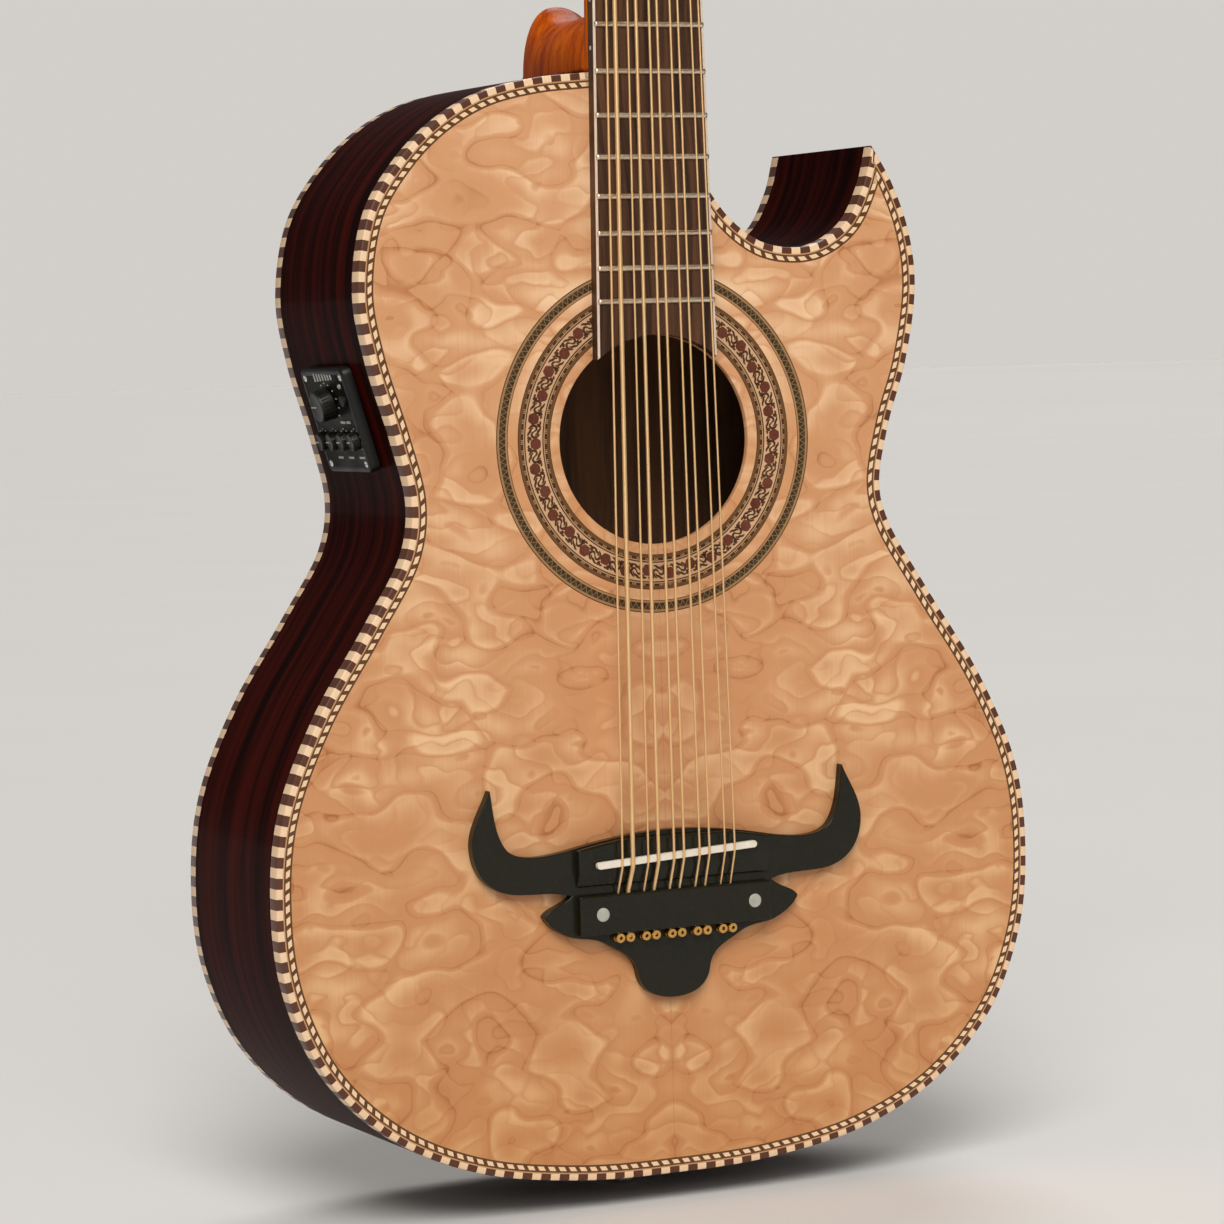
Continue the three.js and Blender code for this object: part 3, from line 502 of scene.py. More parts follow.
@dataclass(frozen=True)
class Mottled(Finish):
    """A nearly even material with fine mottling in colour and relief."""

    base: tuple = srgb(20, 20, 20)
    other: tuple = srgb(34, 33, 31)
    scale: float = 900.0
    bumps: float = 0.00001

    def paint(self, kit: Kit, place: Socket, surface: bpy.types.Node) -> None:
        """Two tones mixed by noise, which is also the relief."""
        speck = kit.noise(place, self.scale, 4.0)
        cloud = kit.noise(place, self.scale / 18, 2.0)
        share = kit.spread(kit.math("ADD", speck, cloud), 0.7, 1.3, 0.0, 1.0)
        use(kit, surface, "Base Color", kit.mix(share, self.base, self.other))
        rough = kit.spread(cloud, 0.3, 0.7, self.roughness * 0.8, self.roughness * 1.25)
        use(kit, surface, "Roughness", rough)
        relief(kit, surface, speck, self.bumps, 0.4)


@dataclass(frozen=True)
class WoundWire(Finish):
    """Bronze wire wound round a core, turn by turn, read from `along` in millimetres."""

    pitch: float = 0.32

    def paint(self, kit: Kit, place: Socket, surface: bpy.types.Node) -> None:
        """Turns of wire as relief, with a little tarnish and painted shade darkening the grooves
        between turns.
        """
        along = kit.node("ShaderNodeAttribute", attribute_name="along").outputs["Fac"]
        wave = kit.math("PINGPONG", kit.math("DIVIDE", along, self.pitch), 0.5)
        tarnish = kit.noise(place, 60.0, 3.0)
        colour = kit.mix(tarnish, srgb(240, 190, 128), srgb(252, 218, 164))
        # Painted shade: the wire's colour darkens where each turn dips into the groove beside the
        # next.
        painted_groove_shade = kit.spread(wave, 0.0, 0.14, 0.3, 0.0)
        use(kit, surface, "Base Color", kit.mix(painted_groove_shade, colour, srgb(150, 100, 54)))
        relief(kit, surface, wave, 0.00006, 0.4)


MAPLE = QuiltedMaple("quilted_maple", 0.42, coat=0.35, coat_roughness=0.12, ior=1.35)
RIB = RibWood("rib_wood", 0.36, coat=0.03, coat_roughness=0.05, ior=1.04)
BACK = StreakedWood("back_wood", 0.3, coat=0.15, coat_roughness=0.05, ior=1.1, mirrored=True,
                    dark=srgb(18, 5, 4), light=srgb(64, 17, 11), across=(75.0, 1.0, 3.0))
BARE = StreakedWood("bare_wood", 0.75, dark=srgb(66, 40, 22), light=srgb(122, 80, 48),
                    across=(75.0, 75.0, 3.0))
CHECKER = CheckerBinding("checker_binding", 0.4, coat=0.2, coat_roughness=0.1, ior=1.35)
ROPE = RopePurfling("rope_purfling", 0.42, coat=0.2, coat_roughness=0.12, ior=1.35)
MAHOGANY = StreakedWood("mahogany", 0.34, coat=0.08, ior=1.07, dark=srgb(156, 54, 4),
                        light=srgb(216, 100, 10), across=(160.0, 160.0, 7.0), pores=0.2)
ROSEWOOD = StreakedWood("rosewood", 0.5, dark=srgb(44, 26, 14), light=srgb(98, 62, 38),
                        ior=1.35, across=(260.0, 60.0, 7.0), pores=0.8)
EBONY = Mottled("ebony", 0.26, base=srgb(24, 22, 12), other=srgb(31, 29, 17), ior=1.26,
                scale=420.0, coat=0.18, coat_roughness=0.05)
VENEER = StreakedWood("head_veneer", 0.3, coat=0.35, ior=1.25, dark=srgb(24, 8, 6),
                      light=srgb(66, 20, 14), across=(110.0, 20.0, 4.0))
INNER = StreakedWood("inner_wood", 0.8, dark=srgb(150, 104, 62), light=srgb(206, 160, 108),
                     across=(60.0, 260.0, 60.0), pores=0.25)
BONE = Mottled("bone", 0.38, base=srgb(214, 202, 182), other=srgb(234, 226, 208), scale=260.0)
CREAM = Mottled("cream_binding", 0.4, base=srgb(208, 182, 158), other=srgb(226, 204, 182),
                scale=240.0)
GROUND = Mottled("rosette_ground", 0.45, base=srgb(192, 150, 108), other=srgb(210, 168, 126),
                 scale=700.0)
SCROLL = Mottled("rosette_scroll", 0.45, base=srgb(66, 40, 26), other=srgb(90, 60, 42),
                 ior=1.2, scale=1500.0)
BLOOM = Mottled("rosette_bloom", 0.45, base=srgb(86, 44, 30), other=srgb(112, 64, 48),
                ior=1.2, scale=1500.0)
PEARL = Mottled("pearl", 0.3, base=srgb(158, 156, 142), other=srgb(190, 188, 174), scale=160.0)
NICKEL = Mottled("nickel", 0.24, 1.0, base=srgb(206, 200, 188), other=srgb(232, 226, 214),
                 scale=700.0)
FRET_WIRE = Mottled("fret_wire", 0.32, 1.0, base=srgb(214, 196, 172), other=srgb(240, 224, 202),
                    scale=700.0)
BRASS = Mottled("brass", 0.28, 1.0, base=srgb(206, 150, 76), other=srgb(236, 190, 112),
                scale=900.0)
WIRE = WoundWire("wound_bronze", 0.42, 0.85)
PLASTIC = Mottled("black_plastic", 0.42, base=srgb(11, 11, 9), other=srgb(19, 19, 16), ior=1.36)
KNOB = Mottled("knob_plastic", 0.38, base=srgb(15, 14, 10), other=srgb(29, 28, 20), ior=1.34)
INK = Mottled("white_ink", 0.6, base=srgb(150, 152, 140), other=srgb(186, 186, 174))
LENS = Mottled("light_lens", 0.15, base=srgb(120, 112, 100), other=srgb(150, 140, 126),
               coat=1.0)
FLOOR = Mottled("studio_floor", 0.7, base=srgb(226, 223, 218), other=srgb(229, 226, 221),
                scale=2.0, bumps=0.0)


# ---- mesh helpers -----------------------------------------------------------------------------
def make(name: str, shape: Shape, finish: Finish, place: Place = BODY,
         crease: float = 34.0) -> bpy.types.Object:
    """Makes a closed mesh object.

    Args:
        name: The piece's name.
        shape: Vertices in the place's millimetres, and faces.
        finish: Its surface.
        place: The frame of the vertices.
        crease: Angle in degrees past which an edge stays sharp.

    Returns:
        The object, at the origin, unturned and unscaled.
    """
    mesh = bpy.data.meshes.new(name)
    mesh.from_pydata(place.put(shape[0]).tolist(), [], [list(f) for f in shape[1]])
    body = bmesh.new()
    body.from_mesh(mesh)
    bmesh.ops.remove_doubles(body, verts=body.verts, dist=1e-6)
    bmesh.ops.recalc_face_normals(body, faces=body.faces)
    body.to_mesh(mesh)
    body.free()
    mesh.materials.append(finish.material())
    mesh.polygons.foreach_set("use_smooth", [True] * len(mesh.polygons))
    mesh.set_sharp_from_angle(angle=math.radians(crease))
    made = bpy.data.objects.new(name, mesh)
    bpy.context.scene.collection.objects.link(made)
    return made


def settle(piece: bpy.types.Object, crease: float | None = None) -> bpy.types.Object:
    """Turns the piece's modifiers into its plain mesh."""
    bpy.context.view_layer.update()
    graph = bpy.context.evaluated_depsgraph_get()
    mesh = bpy.data.meshes.new_from_object(piece.evaluated_get(graph), depsgraph=graph)
    mesh.name = piece.name
    if piece.type == "MESH":
        piece.modifiers.clear()
        piece.data = mesh
        made = piece
    else:
        name = piece.name
        bpy.data.objects.remove(piece)
        made = bpy.data.objects.new(name, mesh)
        bpy.context.scene.collection.objects.link(made)
    if crease is not None:
        mesh.polygons.foreach_set("use_smooth", [True] * len(mesh.polygons))
        mesh.set_sharp_from_angle(angle=math.radians(crease))
    return made


def bevelled(piece: bpy.types.Object, width: float, segments: int = 3,
             angle: float = 38.0) -> bpy.types.Object:
    """Rounds the piece's sharp edges by width millimetres."""
    edge = piece.modifiers.new("edge", "BEVEL")
    edge.width = width * MM
    edge.segments = segments
    edge.limit_method = "ANGLE"
    edge.angle_limit = math.radians(angle)
    edge.harden_normals = True
    return settle(piece)


def seat(piece: bpy.types.Object, body: str = ROOT,
         stands_for: Sequence[str] = ()) -> bpy.types.Object:
    """Joins a finished piece to the frame and logs it.

    Args:
        piece: The piece, final.
        body: The CAD body that it moves with.
        stands_for: CAD nodes that it replaces.

    Returns:
        The piece.
    """
    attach(piece, body)
    if stands_for:
        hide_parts(*stands_for)
    log.info("%s: %d faces on %s", piece.name, len(piece.data.polygons), body)
    return piece


def joined(name: str, pieces: Sequence[bpy.types.Object]) -> bpy.types.Object:
    """Merges several mesh objects, all at the origin, into one that keeps their materials."""
    body = bmesh.new()
    slots: list[bpy.types.Material] = []
    for piece in pieces:
        start = len(body.faces)
        body.from_mesh(piece.data)
        body.faces.ensure_lookup_table()
        numbers = []
        for material in piece.data.materials:
            if material not in slots:
                slots.append(material)
            numbers.append(slots.index(material))
        for face in body.faces[start:]:
            face.material_index = numbers[face.material_index]
    mesh = bpy.data.meshes.new(name)
    body.to_mesh(mesh)
    body.free()
    for material in slots:
        mesh.materials.append(material)
    for piece in pieces:
        bpy.data.objects.remove(piece)
    made = bpy.data.objects.new(name, mesh)
    bpy.context.scene.collection.objects.link(made)
    return made


def loft(rings: Sequence[Points], loop: bool = False, caps: bool = True) -> Shape:
    """Skins closed rings of the same point count.

    Args:
        rings: Each an array of points.
        loop: The last ring joins the first, for a ring-shaped solid.
        caps: The end rings are filled.

    Returns:
        Vertices and faces.
    """
    size = len(rings[0])
    vertices = [tuple(p) for ring in rings for p in ring]
    faces = []
    spans = len(rings) if loop else len(rings) - 1
    for r in range(spans):
        low, high = r * size, ((r + 1) % len(rings)) * size
        for i in range(size):
            j = (i + 1) % size
            faces.append((low + i, low + j, high + j, high + i))
    if caps and not loop:
        faces.append(tuple(range(size)))
        faces.append(tuple(range((len(rings) - 1) * size, len(rings) * size)))
    return vertices, faces


def ribbon(spine: Sequence[tuple[float, float]], half: float, level: float = 0.04) -> Shape:
    """A flat stroke along a smooth spine, thinner at its ends.

    Args:
        spine: Points in local X and Y.
        half: Half its greatest width.
        level: Its height above the local plane.

    Returns:
        Vertices and faces.
    """
    path = curve_through(spine, 0.45)
    way = np.gradient(path, axis=0)
    way /= np.linalg.norm(way, axis=1)[:, None]
    share = np.linspace(0, 1, len(path))
    wide = half * (0.45 + 0.55 * np.sin(math.pi * share))
    side = np.stack([-way[:, 1], way[:, 0]], 1) * wide[:, None]
    points = [(x, y, level) for pair in zip(path + side, path - side) for x, y in pair]
    return points, [(2 * i, 2 * i + 1, 2 * i + 3, 2 * i + 2) for i in range(len(path) - 1)]


def slab(outline: Points, front: float, back: float) -> Shape:
    """A flat plate: an outline in X and Z between two Y levels."""
    return loft([np.array([(x, y, z) for x, z in outline]) for y in (front, back)])


def turned(profile: Sequence[tuple[float, float]], count: int = 48) -> Shape:
    """A turned solid round local Z from (radius, height) pairs; ends at radius 0 are closed."""
    steps = np.arange(count) * math.tau / count
    rings = [np.stack([max(r, 1e-7) * np.cos(steps), max(r, 1e-7) * np.sin(steps),
                       np.full(count, h)], 1) for r, h in profile]
    return loft(rings, loop=profile[0][0] > 0)


def rounded_box(size: tuple[float, float, float], at: tuple[float, float, float]) -> Shape:
    """A box's eight corners and six faces, to be bevelled."""
    half = np.array(size) / 2
    ring = [(-1, -1), (1, -1), (1, 1), (-1, 1)]
    rings = [np.array([(a * half[0], b * half[1], s * half[2]) for a, b in ring]) + np.array(at)
             for s in (-1, 1)]
    return loft(rings)


def rounded_rectangle(width: float, height: float, radius: float, steps: int = 8) -> Points:
    """An outline with rounded corners, centred."""
    a, b = width / 2 - radius, height / 2 - radius
    points = []
    for n, (sx, sz) in enumerate(((1, 1), (-1, 1), (-1, -1), (1, -1))):
        for i in range(steps + 1):
            t = math.pi / 2 * (n + i / steps)
            points.append((sx * a + radius * math.cos(t), sz * b + radius * math.sin(t)))
    return np.array(points)


def bezier(start: tuple, run: Sequence[tuple], steps: int = 14) -> list[tuple[float, float]]:
    """Points of a chain of cubic Beziers.

    Args:
        start: First point.
        run: Each three pairs: two handles and the next point.
        steps: Points per piece.

    Returns:
        The points, the first included.
    """
    points = [start]
    for a, b, end in run:
        origin = points[-1]
        for i in range(1, steps + 1):
            t = i / steps
            weights = ((1 - t) ** 3, 3 * t * (1 - t) ** 2, 3 * t * t * (1 - t), t ** 3)
            points.append(tuple(sum(w * p[k] for w, p in zip(weights, (origin, a, b, end)))
                                for k in range(2)))
    return points


# ---- geometry node trees ----------------------------------------------------------------------
class Tree:
    """A geometry node tree with named inputs, run on a host object and settled."""

    def __init__(self, name: str, inputs: dict[str, object]) -> None:
        """Makes the tree's sockets; the kind of each follows its first value's type."""
        self.values = inputs
        self.tree = bpy.data.node_groups.new(name, "GeometryNodeTree")
        face = self.tree.interface
        face.new_socket("Geometry", in_out="INPUT", socket_type="NodeSocketGeometry")
        for key, value in inputs.items():
            kind = {float: "Float", int: "Int", bpy.types.Object: "Object",
                    bpy.types.Material: "Material"}[type(value)]
            face.new_socket(key, in_out="INPUT", socket_type=f"NodeSocket{kind}")
        face.new_socket("Geometry", in_out="OUTPUT", socket_type="NodeSocketGeometry")
        self.kit = Kit(self.tree)
        self.entry = self.tree.nodes.new("NodeGroupInput")
        self.end = self.tree.nodes.new("NodeGroupOutput")

    def input(self, name: str) -> Socket:
        """The socket that brings a named input."""
        return self.entry.outputs[name]

    def close(self, geometry: Socket) -> None:
        """Ends the tree: real geometry, smooth, in the given material."""
        real = self.kit.node("GeometryNodeRealizeInstances", {"Geometry": geometry})
        dressed = self.kit.node("GeometryNodeSetMaterial", {
            "Geometry": real.outputs[0], "Material": self.input("Finish")})
        self.tree.links.new(dressed.outputs[0], self.end.inputs[0])

    def run(self, host: bpy.types.Object) -> bpy.types.Object:
        """Runs the tree on host with its values and returns the plain mesh piece."""
        modifier = host.modifiers.new(self.tree.name, "NODES")
        modifier.node_group = self.tree
        for item in self.tree.interface.items_tree:
            if item.item_type == "SOCKET" and item.in_out == "INPUT" and item.name in self.values:
                modifier[item.identifier] = self.values[item.name]
        return settle(host)


@dataclass(frozen=True)
class Scatter:
    """Sets copies of one small piece at many places, each with its own turn."""

    name: str
    sample: bpy.types.Object
    finish: Finish

    def run(self, places: Sequence[Place]) -> bpy.types.Object:
        """Sets the copies.

        Args:
            places: A frame for each copy; the sample is in its own frame, in metres.

        Returns:
            One piece with every copy in it.
        """
        tree = Tree(self.name, {"Sample": self.sample, "Finish": self.finish.material()})
        kit = tree.kit
        turn = kit.node("GeometryNodeInputNamedAttribute", {"Name": "turn"},
                        data_type="FLOAT_VECTOR").outputs[0]
        info = kit.node("GeometryNodeObjectInfo", {"Object": tree.input("Sample")})
        copies = kit.node("GeometryNodeInstanceOnPoints", {
            "Points": tree.input("Geometry"), "Instance": info.outputs["Geometry"],
            "Rotation": turn})
        tree.close(copies.outputs[0])
        mesh = bpy.data.meshes.new(self.name)
        spots = np.array([place.put([(0, 0, 0)])[0] for place in places])
        mesh.from_pydata(spots.tolist(), [], [])
        attribute = mesh.attributes.new("turn", "FLOAT_VECTOR", "POINT")
        turns = [tuple(place.matrix.to_euler()) for place in places]
        attribute.data.foreach_set("vector", np.array(turns, np.float32).ravel())
        host = bpy.data.objects.new(self.name, mesh)
        bpy.context.scene.collection.objects.link(host)
        made = tree.run(host)
        bpy.data.objects.remove(self.sample)
        return made


def sample(name: str, shape: Shape, finish: Finish, bevel: float = 0.0,
           crease: float = 34.0) -> bpy.types.Object:
    """A small piece in its own frame for Scatter: at the origin, not in the row frame."""
    shift = [-c for c in ROW_SHIFT]
    made = make(name, shape, finish, Place(Matrix.Translation(shift)), crease)
    return bevelled(made, bevel, 2) if bevel else made


@dataclass(frozen=True)
class Sweep:
    """Sweeps a round section along a path; stores the length run as `along`."""

    name: str
    radius: float
    finish: Finish
    sides: int = 12

    def run(self, path: Sequence[Sequence[float]], place: Place = BODY) -> bpy.types.Object:
        """Sweeps along path.

        Args:
            path: Points in the place's millimetres.
            place: Their frame.

        Returns:
            The tube as a plain mesh piece.
        """
        tree = Tree(self.name, {"Radius": self.radius * MM, "Sides": self.sides,
                                "Finish": self.finish.material()})
        kit = tree.kit
        run = kit.math("MULTIPLY", kit.node("GeometryNodeSplineParameter").outputs["Length"],
                       1 / MM)
        marked = kit.node("GeometryNodeStoreNamedAttribute", {
            "Geometry": tree.input("Geometry"), "Name": "along", "Value": run},
            data_type="FLOAT", domain="POINT")
        section = kit.node("GeometryNodeCurvePrimitiveCircle", {
            "Resolution": tree.input("Sides"), "Radius": tree.input("Radius")})
        tube = kit.node("GeometryNodeCurveToMesh", {
            "Curve": marked.outputs[0], "Profile Curve": section.outputs[0], "Fill Caps": True})
        smooth = kit.node("GeometryNodeSetShadeSmooth", {"Geometry": tube.outputs[0]})
        tree.close(smooth.outputs[0])
        curve = bpy.data.curves.new(self.name, "CURVE")
        curve.dimensions = "3D"
        spline = curve.splines.new("POLY")
        points = place.put(path)
        spline.points.add(len(points) - 1)
        flat = np.hstack([points, np.ones((len(points), 1))]).ravel()
        spline.points.foreach_set("co", flat)
        host = bpy.data.objects.new(self.name, curve)
        bpy.context.scene.collection.objects.link(host)
        return tree.run(host)


# ---- body outline -----------------------------------------------------------------------------
class Corner(Enum):
    """Shares of half the body's width and of its length where the outline turns sharply."""

    HORN = (0.611, 0.9331)
    CUT_FOOT = (0.1537, 0.8992)


RIM = (
    (-0.2907, 0.9947), (-0.4248, 0.982), (-0.5422, 0.9569), (-0.6372, 0.9229),
    (-0.7155, 0.8769), (-0.7479, 0.8068), (-0.7228, 0.7473), (-0.6674, 0.6783),
    (-0.6316, 0.62), (-0.6495, 0.5764), (-0.749, 0.5138), (-0.8832, 0.4352),
    (-0.9771, 0.3516), (-1, 0.2675), (-0.976, 0.1932), (-0.8888, 0.1197), (-0.7295, 0.0594),
    (-0.517, 0.0212), (-0.2515, 0.0032), (0, 0), (0.2515, 0.0032), (0.517, 0.0212),
    (0.7295, 0.0594), (0.8888, 0.1197), (0.976, 0.1932), (1, 0.2675), (0.9782, 0.3482),
    (0.8832, 0.4342), (0.7323, 0.5234), (0.63, 0.5871), (0.6093, 0.62), (0.6383, 0.6752),
    (0.6914, 0.7346), (0.7228, 0.8047), (0.7071, 0.8556), (0.6618, 0.9011),
)
CUTAWAY = (
    (0.588, 0.9002), (0.5344, 0.8637), (0.4528, 0.8442), (0.3801, 0.8408), (0.2996, 0.8469),
    (0.218, 0.8684),
)


def curve_through(points: Sequence[tuple[float, float]], spacing: float) -> Points:
    """Even points on the centripetal Catmull-Rom curve through the given points."""
    given = np.array(points, float)
    given = np.vstack([2 * given[0] - given[1], given, 2 * given[-1] - given[-2]])
    fine = []
    for p0, p1, p2, p3 in zip(given, given[1:], given[2:], given[3:]):
        d0, d1, d2 = (float(np.linalg.norm(b - a)) ** 0.5 for a, b in
                      ((p0, p1), (p1, p2), (p2, p3)))
        m1 = ((p1 - p0) / d0 - (p2 - p0) / (d0 + d1) + (p2 - p1) / d1) * d1
        m2 = ((p2 - p1) / d1 - (p3 - p1) / (d1 + d2) + (p3 - p2) / d2) * d1
        t = np.linspace(0, 1, 40, endpoint=False)[:, None]
        fine.append(p1 + m1 * t + (3 * (p2 - p1) - 2 * m1 - m2) * t ** 2
                    + (2 * (p1 - p2) + m1 + m2) * t ** 3)
    fine.append(given[-2][None])
    dense = np.vstack(fine)
    run = np.concatenate([[0], np.cumsum(np.linalg.norm(np.diff(dense, axis=0), axis=1))])
    even = np.linspace(0, run[-1], max(2, round(run[-1] / spacing)))
    return np.stack([np.interp(even, run, dense[:, k]) for k in range(2)], 1)


def crossing(a: Points, b: Points, c: Points, d: Points) -> Points:
    """Where the line through a and b meets the line through c and d."""
    u, v = b - a, d - c
    share = ((c - a)[0] * v[1] - (c - a)[1] * v[0]) / (u[0] * v[1] - u[1] * v[0])
    return a + u * share


@dataclass
class Outline:
    """The body's outline seen from the front, and the same moved inwards."""

    half_width: float = 178.9
    length: float = 471.0
    bass_corner: float = -26.0
    treble_corner: float = 27.5
    spacing: float = 1.9
    points: Points = field(init=False)
    along: Points = field(init=False)

    def __post_init__(self) -> None:
        """Runs the curve round the rim, up the cutaway and back along the neck."""
        scale = np.array([self.half_width, self.length])
        rim = [(self.bass_corner, self.length)]
        rim += [tuple(scale * p) for p in (*RIM, Corner.HORN.value)]
        cut = [tuple(scale * p) for p in (Corner.HORN.value, *CUTAWAY, Corner.CUT_FOOT.value)]
        around = curve_through(rim, self.spacing)
        inward = curve_through(cut, self.spacing)
        corner = np.array([[self.treble_corner, self.length]])
        self.points = np.vstack([around, inward[1:], corner])
        steps = np.linalg.norm(np.diff(self.points, axis=0, append=self.points[:1]), axis=1)
        self.along = np.concatenate([[0], np.cumsum(steps)[:-1]])

    def clearance(self, spots: Points) -> Points:
        """Each spot's distance from the outline."""
        a, b = self.points, np.roll(self.points, -1, axis=0)
        ab = b - a
        rel = spots[:, None] - a[None]
        share = np.clip((rel * ab).sum(2) / (ab * ab).sum(1), 0, 1)
        return np.linalg.norm(rel - share[..., None] * ab, axis=2).min(1)

    def inset(self, distance: float) -> Points:
        """The outline moved inwards, with the same number of points.

        Args:
            distance: Millimetres.

        Returns:
            The points; those that a sharp corner would fold meet where its two sides cross.
        """
        if distance <= 0:
            return self.points.copy()
        before = self.points - np.roll(self.points, 1, axis=0)
        after = np.roll(before, -1, axis=0)
        n0, n1 = (np.stack([-e[:, 1], e[:, 0]], 1) / np.linalg.norm(e, axis=1)[:, None]
                  for e in (before, after))
        miter = n0 + n1
        miter /= np.linalg.norm(miter, axis=1)[:, None]
        reach = distance / np.maximum(0.25, (miter * n1).sum(1))
        moved = self.points + miter * reach[:, None]
        good = self.clearance(moved) > distance - 0.02
        count = len(moved)
        first = int(np.flatnonzero(good)[0])
        i = first
        while i < first + count:
            if good[i % count]:
                i += 1
                continue
            end = i
            while not good[end % count]:
                end += 1
            a, b = moved[(i - 2) % count], moved[(i - 1) % count]
            c, d = moved[end % count], moved[(end + 1) % count]
            for k in range(i, end):
                moved[k % count] = crossing(a, b, c, d)
            i = end
        return moved


# ---- body -------------------------------------------------------------------------------------
@dataclass
class BodyBox:
    """The box: soundboard, ribs, back, bindings, purflings and rosette."""

    outline: Outline
    depth_tail: float = 107.5
    depth_neck: float = 93.0
    top_thickness: float = 2.75
    back_thickness: float = 3.0
    rib_thickness: float = 2.5
    binding_width: float = 2.9
    binding_height: float = 7.0
    purfling_inner: float = 6.7
    back_line_inner: float = 4.3
    corner_radius: float = 0.9
    hole_height: float = 315.5
    hole_radius: float = 44.5
    rosette_inner: float = 49.0
    rosette_outer: float = 73.9
    rosette_depth: float = 1.0
    circle_steps: int = 192

    def depth(self, z: Points) -> Points:
        """Outside depth at a height."""
        return self.depth_tail + (self.depth_neck - self.depth_tail) * z / self.outline.length

    def ring(self, inset: float, level: float, from_back: bool = False) -> Points:
        """One closed ring of the rim.

        Args:
            inset: Distance inside the outline.
            level: Distance behind the front face, or in front of the back's.
            from_back: Measures from the back.

        Returns:
            Points in X, Y, Z.
        """
        flat = self.outline.inset(inset)
        y = self.depth(flat[:, 1]) - level if from_back else np.full(len(flat), level)
        return np.stack([flat[:, 0], y, flat[:, 1]], 1)

    def band(self, name: str, levels: Sequence[tuple[float, float]], finish: Finish,
             from_back: bool = False) -> bpy.types.Object:
        """A strip that follows the rim, with the attributes its finish reads.

        Args:
            name: The piece's name.
            levels: The section's corners: inset and level.
            finish: Its surface.
            from_back: Levels are measured from the back.

        Returns:
            The piece.
        """
        rings = [self.ring(inset, level, from_back) for inset, level in levels]
        piece = make(name, loft(rings, loop=True), finish)
        self.mark(piece)
        return piece

    def mark(self, piece: bpy.types.Object) -> None:
        """Stores `along` and `across`, in millimetres, at each vertex from the rim's own run."""
        count = len(piece.data.vertices)
        spots = np.zeros(count * 3)
        piece.data.vertices.foreach_get("co", spots)
        flat = spots.reshape(-1, 3)[:, [0, 2]] / MM - np.array([0, ROW_SHIFT[2]])
        a, b = self.outline.points, np.roll(self.outline.points, -1, axis=0)
        ab = b - a
        rel = flat[:, None] - a[None]
        share = np.clip((rel * ab).sum(2) / (ab * ab).sum(1), 0, 1)
        gaps = np.linalg.norm(rel - share[..., None] * ab, axis=2)
        near = gaps.argmin(1)
        rows = np.arange(count)
        length = np.linalg.norm(ab, axis=1)
        run = self.outline.along[near] + share[rows, near] * length[near]
        for key, values in (("along", run), ("across", gaps[rows, near])):
            attribute = piece.data.attributes.new(key, "FLOAT", "POINT")
            attribute.data.foreach_set("value", values.astype(np.float32))

    def bare_inside(self, piece: bpy.types.Object) -> None:
        """Gives the faces that look into the box bare wood."""
        piece.data.materials.append(BARE.material())
        marks = piece.data.attributes.get("across")
        for face in piece.data.polygons:
            if marks is None:
                inside = face.normal.y < -0.5
            else:
                reach = [marks.data[v].value for v in face.vertices]
                inside = min(reach) > self.rib_thickness - 0.2
            if inside:
                face.material_index = 1

    def circle(self, radius: float, level: float) -> Points:
        """A circle round the soundhole's centre."""
        steps = np.arange(self.circle_steps) * math.tau / self.circle_steps
        return np.stack([radius * np.cos(steps), np.full(self.circle_steps, level),
                         self.hole_height + radius * np.sin(steps)], 1)

    def filled(self, loops: Sequence[Points]) -> Shape:
        """A flat face bounded by closed loops, as triangles."""
        flat = bmesh.new()
        for ring in loops:
            corners = [flat.verts.new(p) for p in ring]
            for i, corner in enumerate(corners):
                if (corner.co - corners[i - 1].co).length > 1e-5:
                    flat.edges.new((corners[i - 1], corner))
        bmesh.ops.remove_doubles(flat, verts=flat.verts, dist=1e-4)
        bmesh.ops.triangle_fill(flat, use_beauty=True, use_dissolve=False, edges=flat.edges)
        flat.verts.index_update()
        shape = ([tuple(v.co) for v in flat.verts],
                 [tuple(v.index for v in f.verts) for f in flat.faces])
        flat.free()
        return shape

    @staticmethod
    def together(shapes: Sequence[Shape]) -> Shape:
        """Several shapes as one."""
        vertices: list = []
        faces: list = []
        for points, polygons in shapes:
            shift = len(vertices)
            vertices += list(points)
            faces += [tuple(i + shift for i in f) for f in polygons]
        return vertices, faces

    def soundboard(self) -> bpy.types.Object:
        """The top: one closed solid with the hole and the rosette's recess."""
        edge_front = self.ring(self.purfling_inner, 0.0)
        edge_back = self.ring(self.purfling_inner, self.top_thickness)
        soft = 0.5
        hole = [(self.rosette_outer, 0.0), (self.rosette_outer, self.rosette_depth),
                (self.rosette_inner, self.rosette_depth), (self.rosette_inner, 0.0),
                (self.hole_radius + soft, 0.0), (self.hole_radius + 0.15, 0.15),
                (self.hole_radius, soft), (self.hole_radius, self.top_thickness)]
        rings = [self.circle(r, y) for r, y in hole]
        shape = self.together([
            self.filled([edge_front, rings[0]]), loft(rings, caps=False),
            self.filled([edge_back, rings[-1]]), loft([edge_front, edge_back], caps=False)])
        return make("top_quilted", shape, MAPLE)

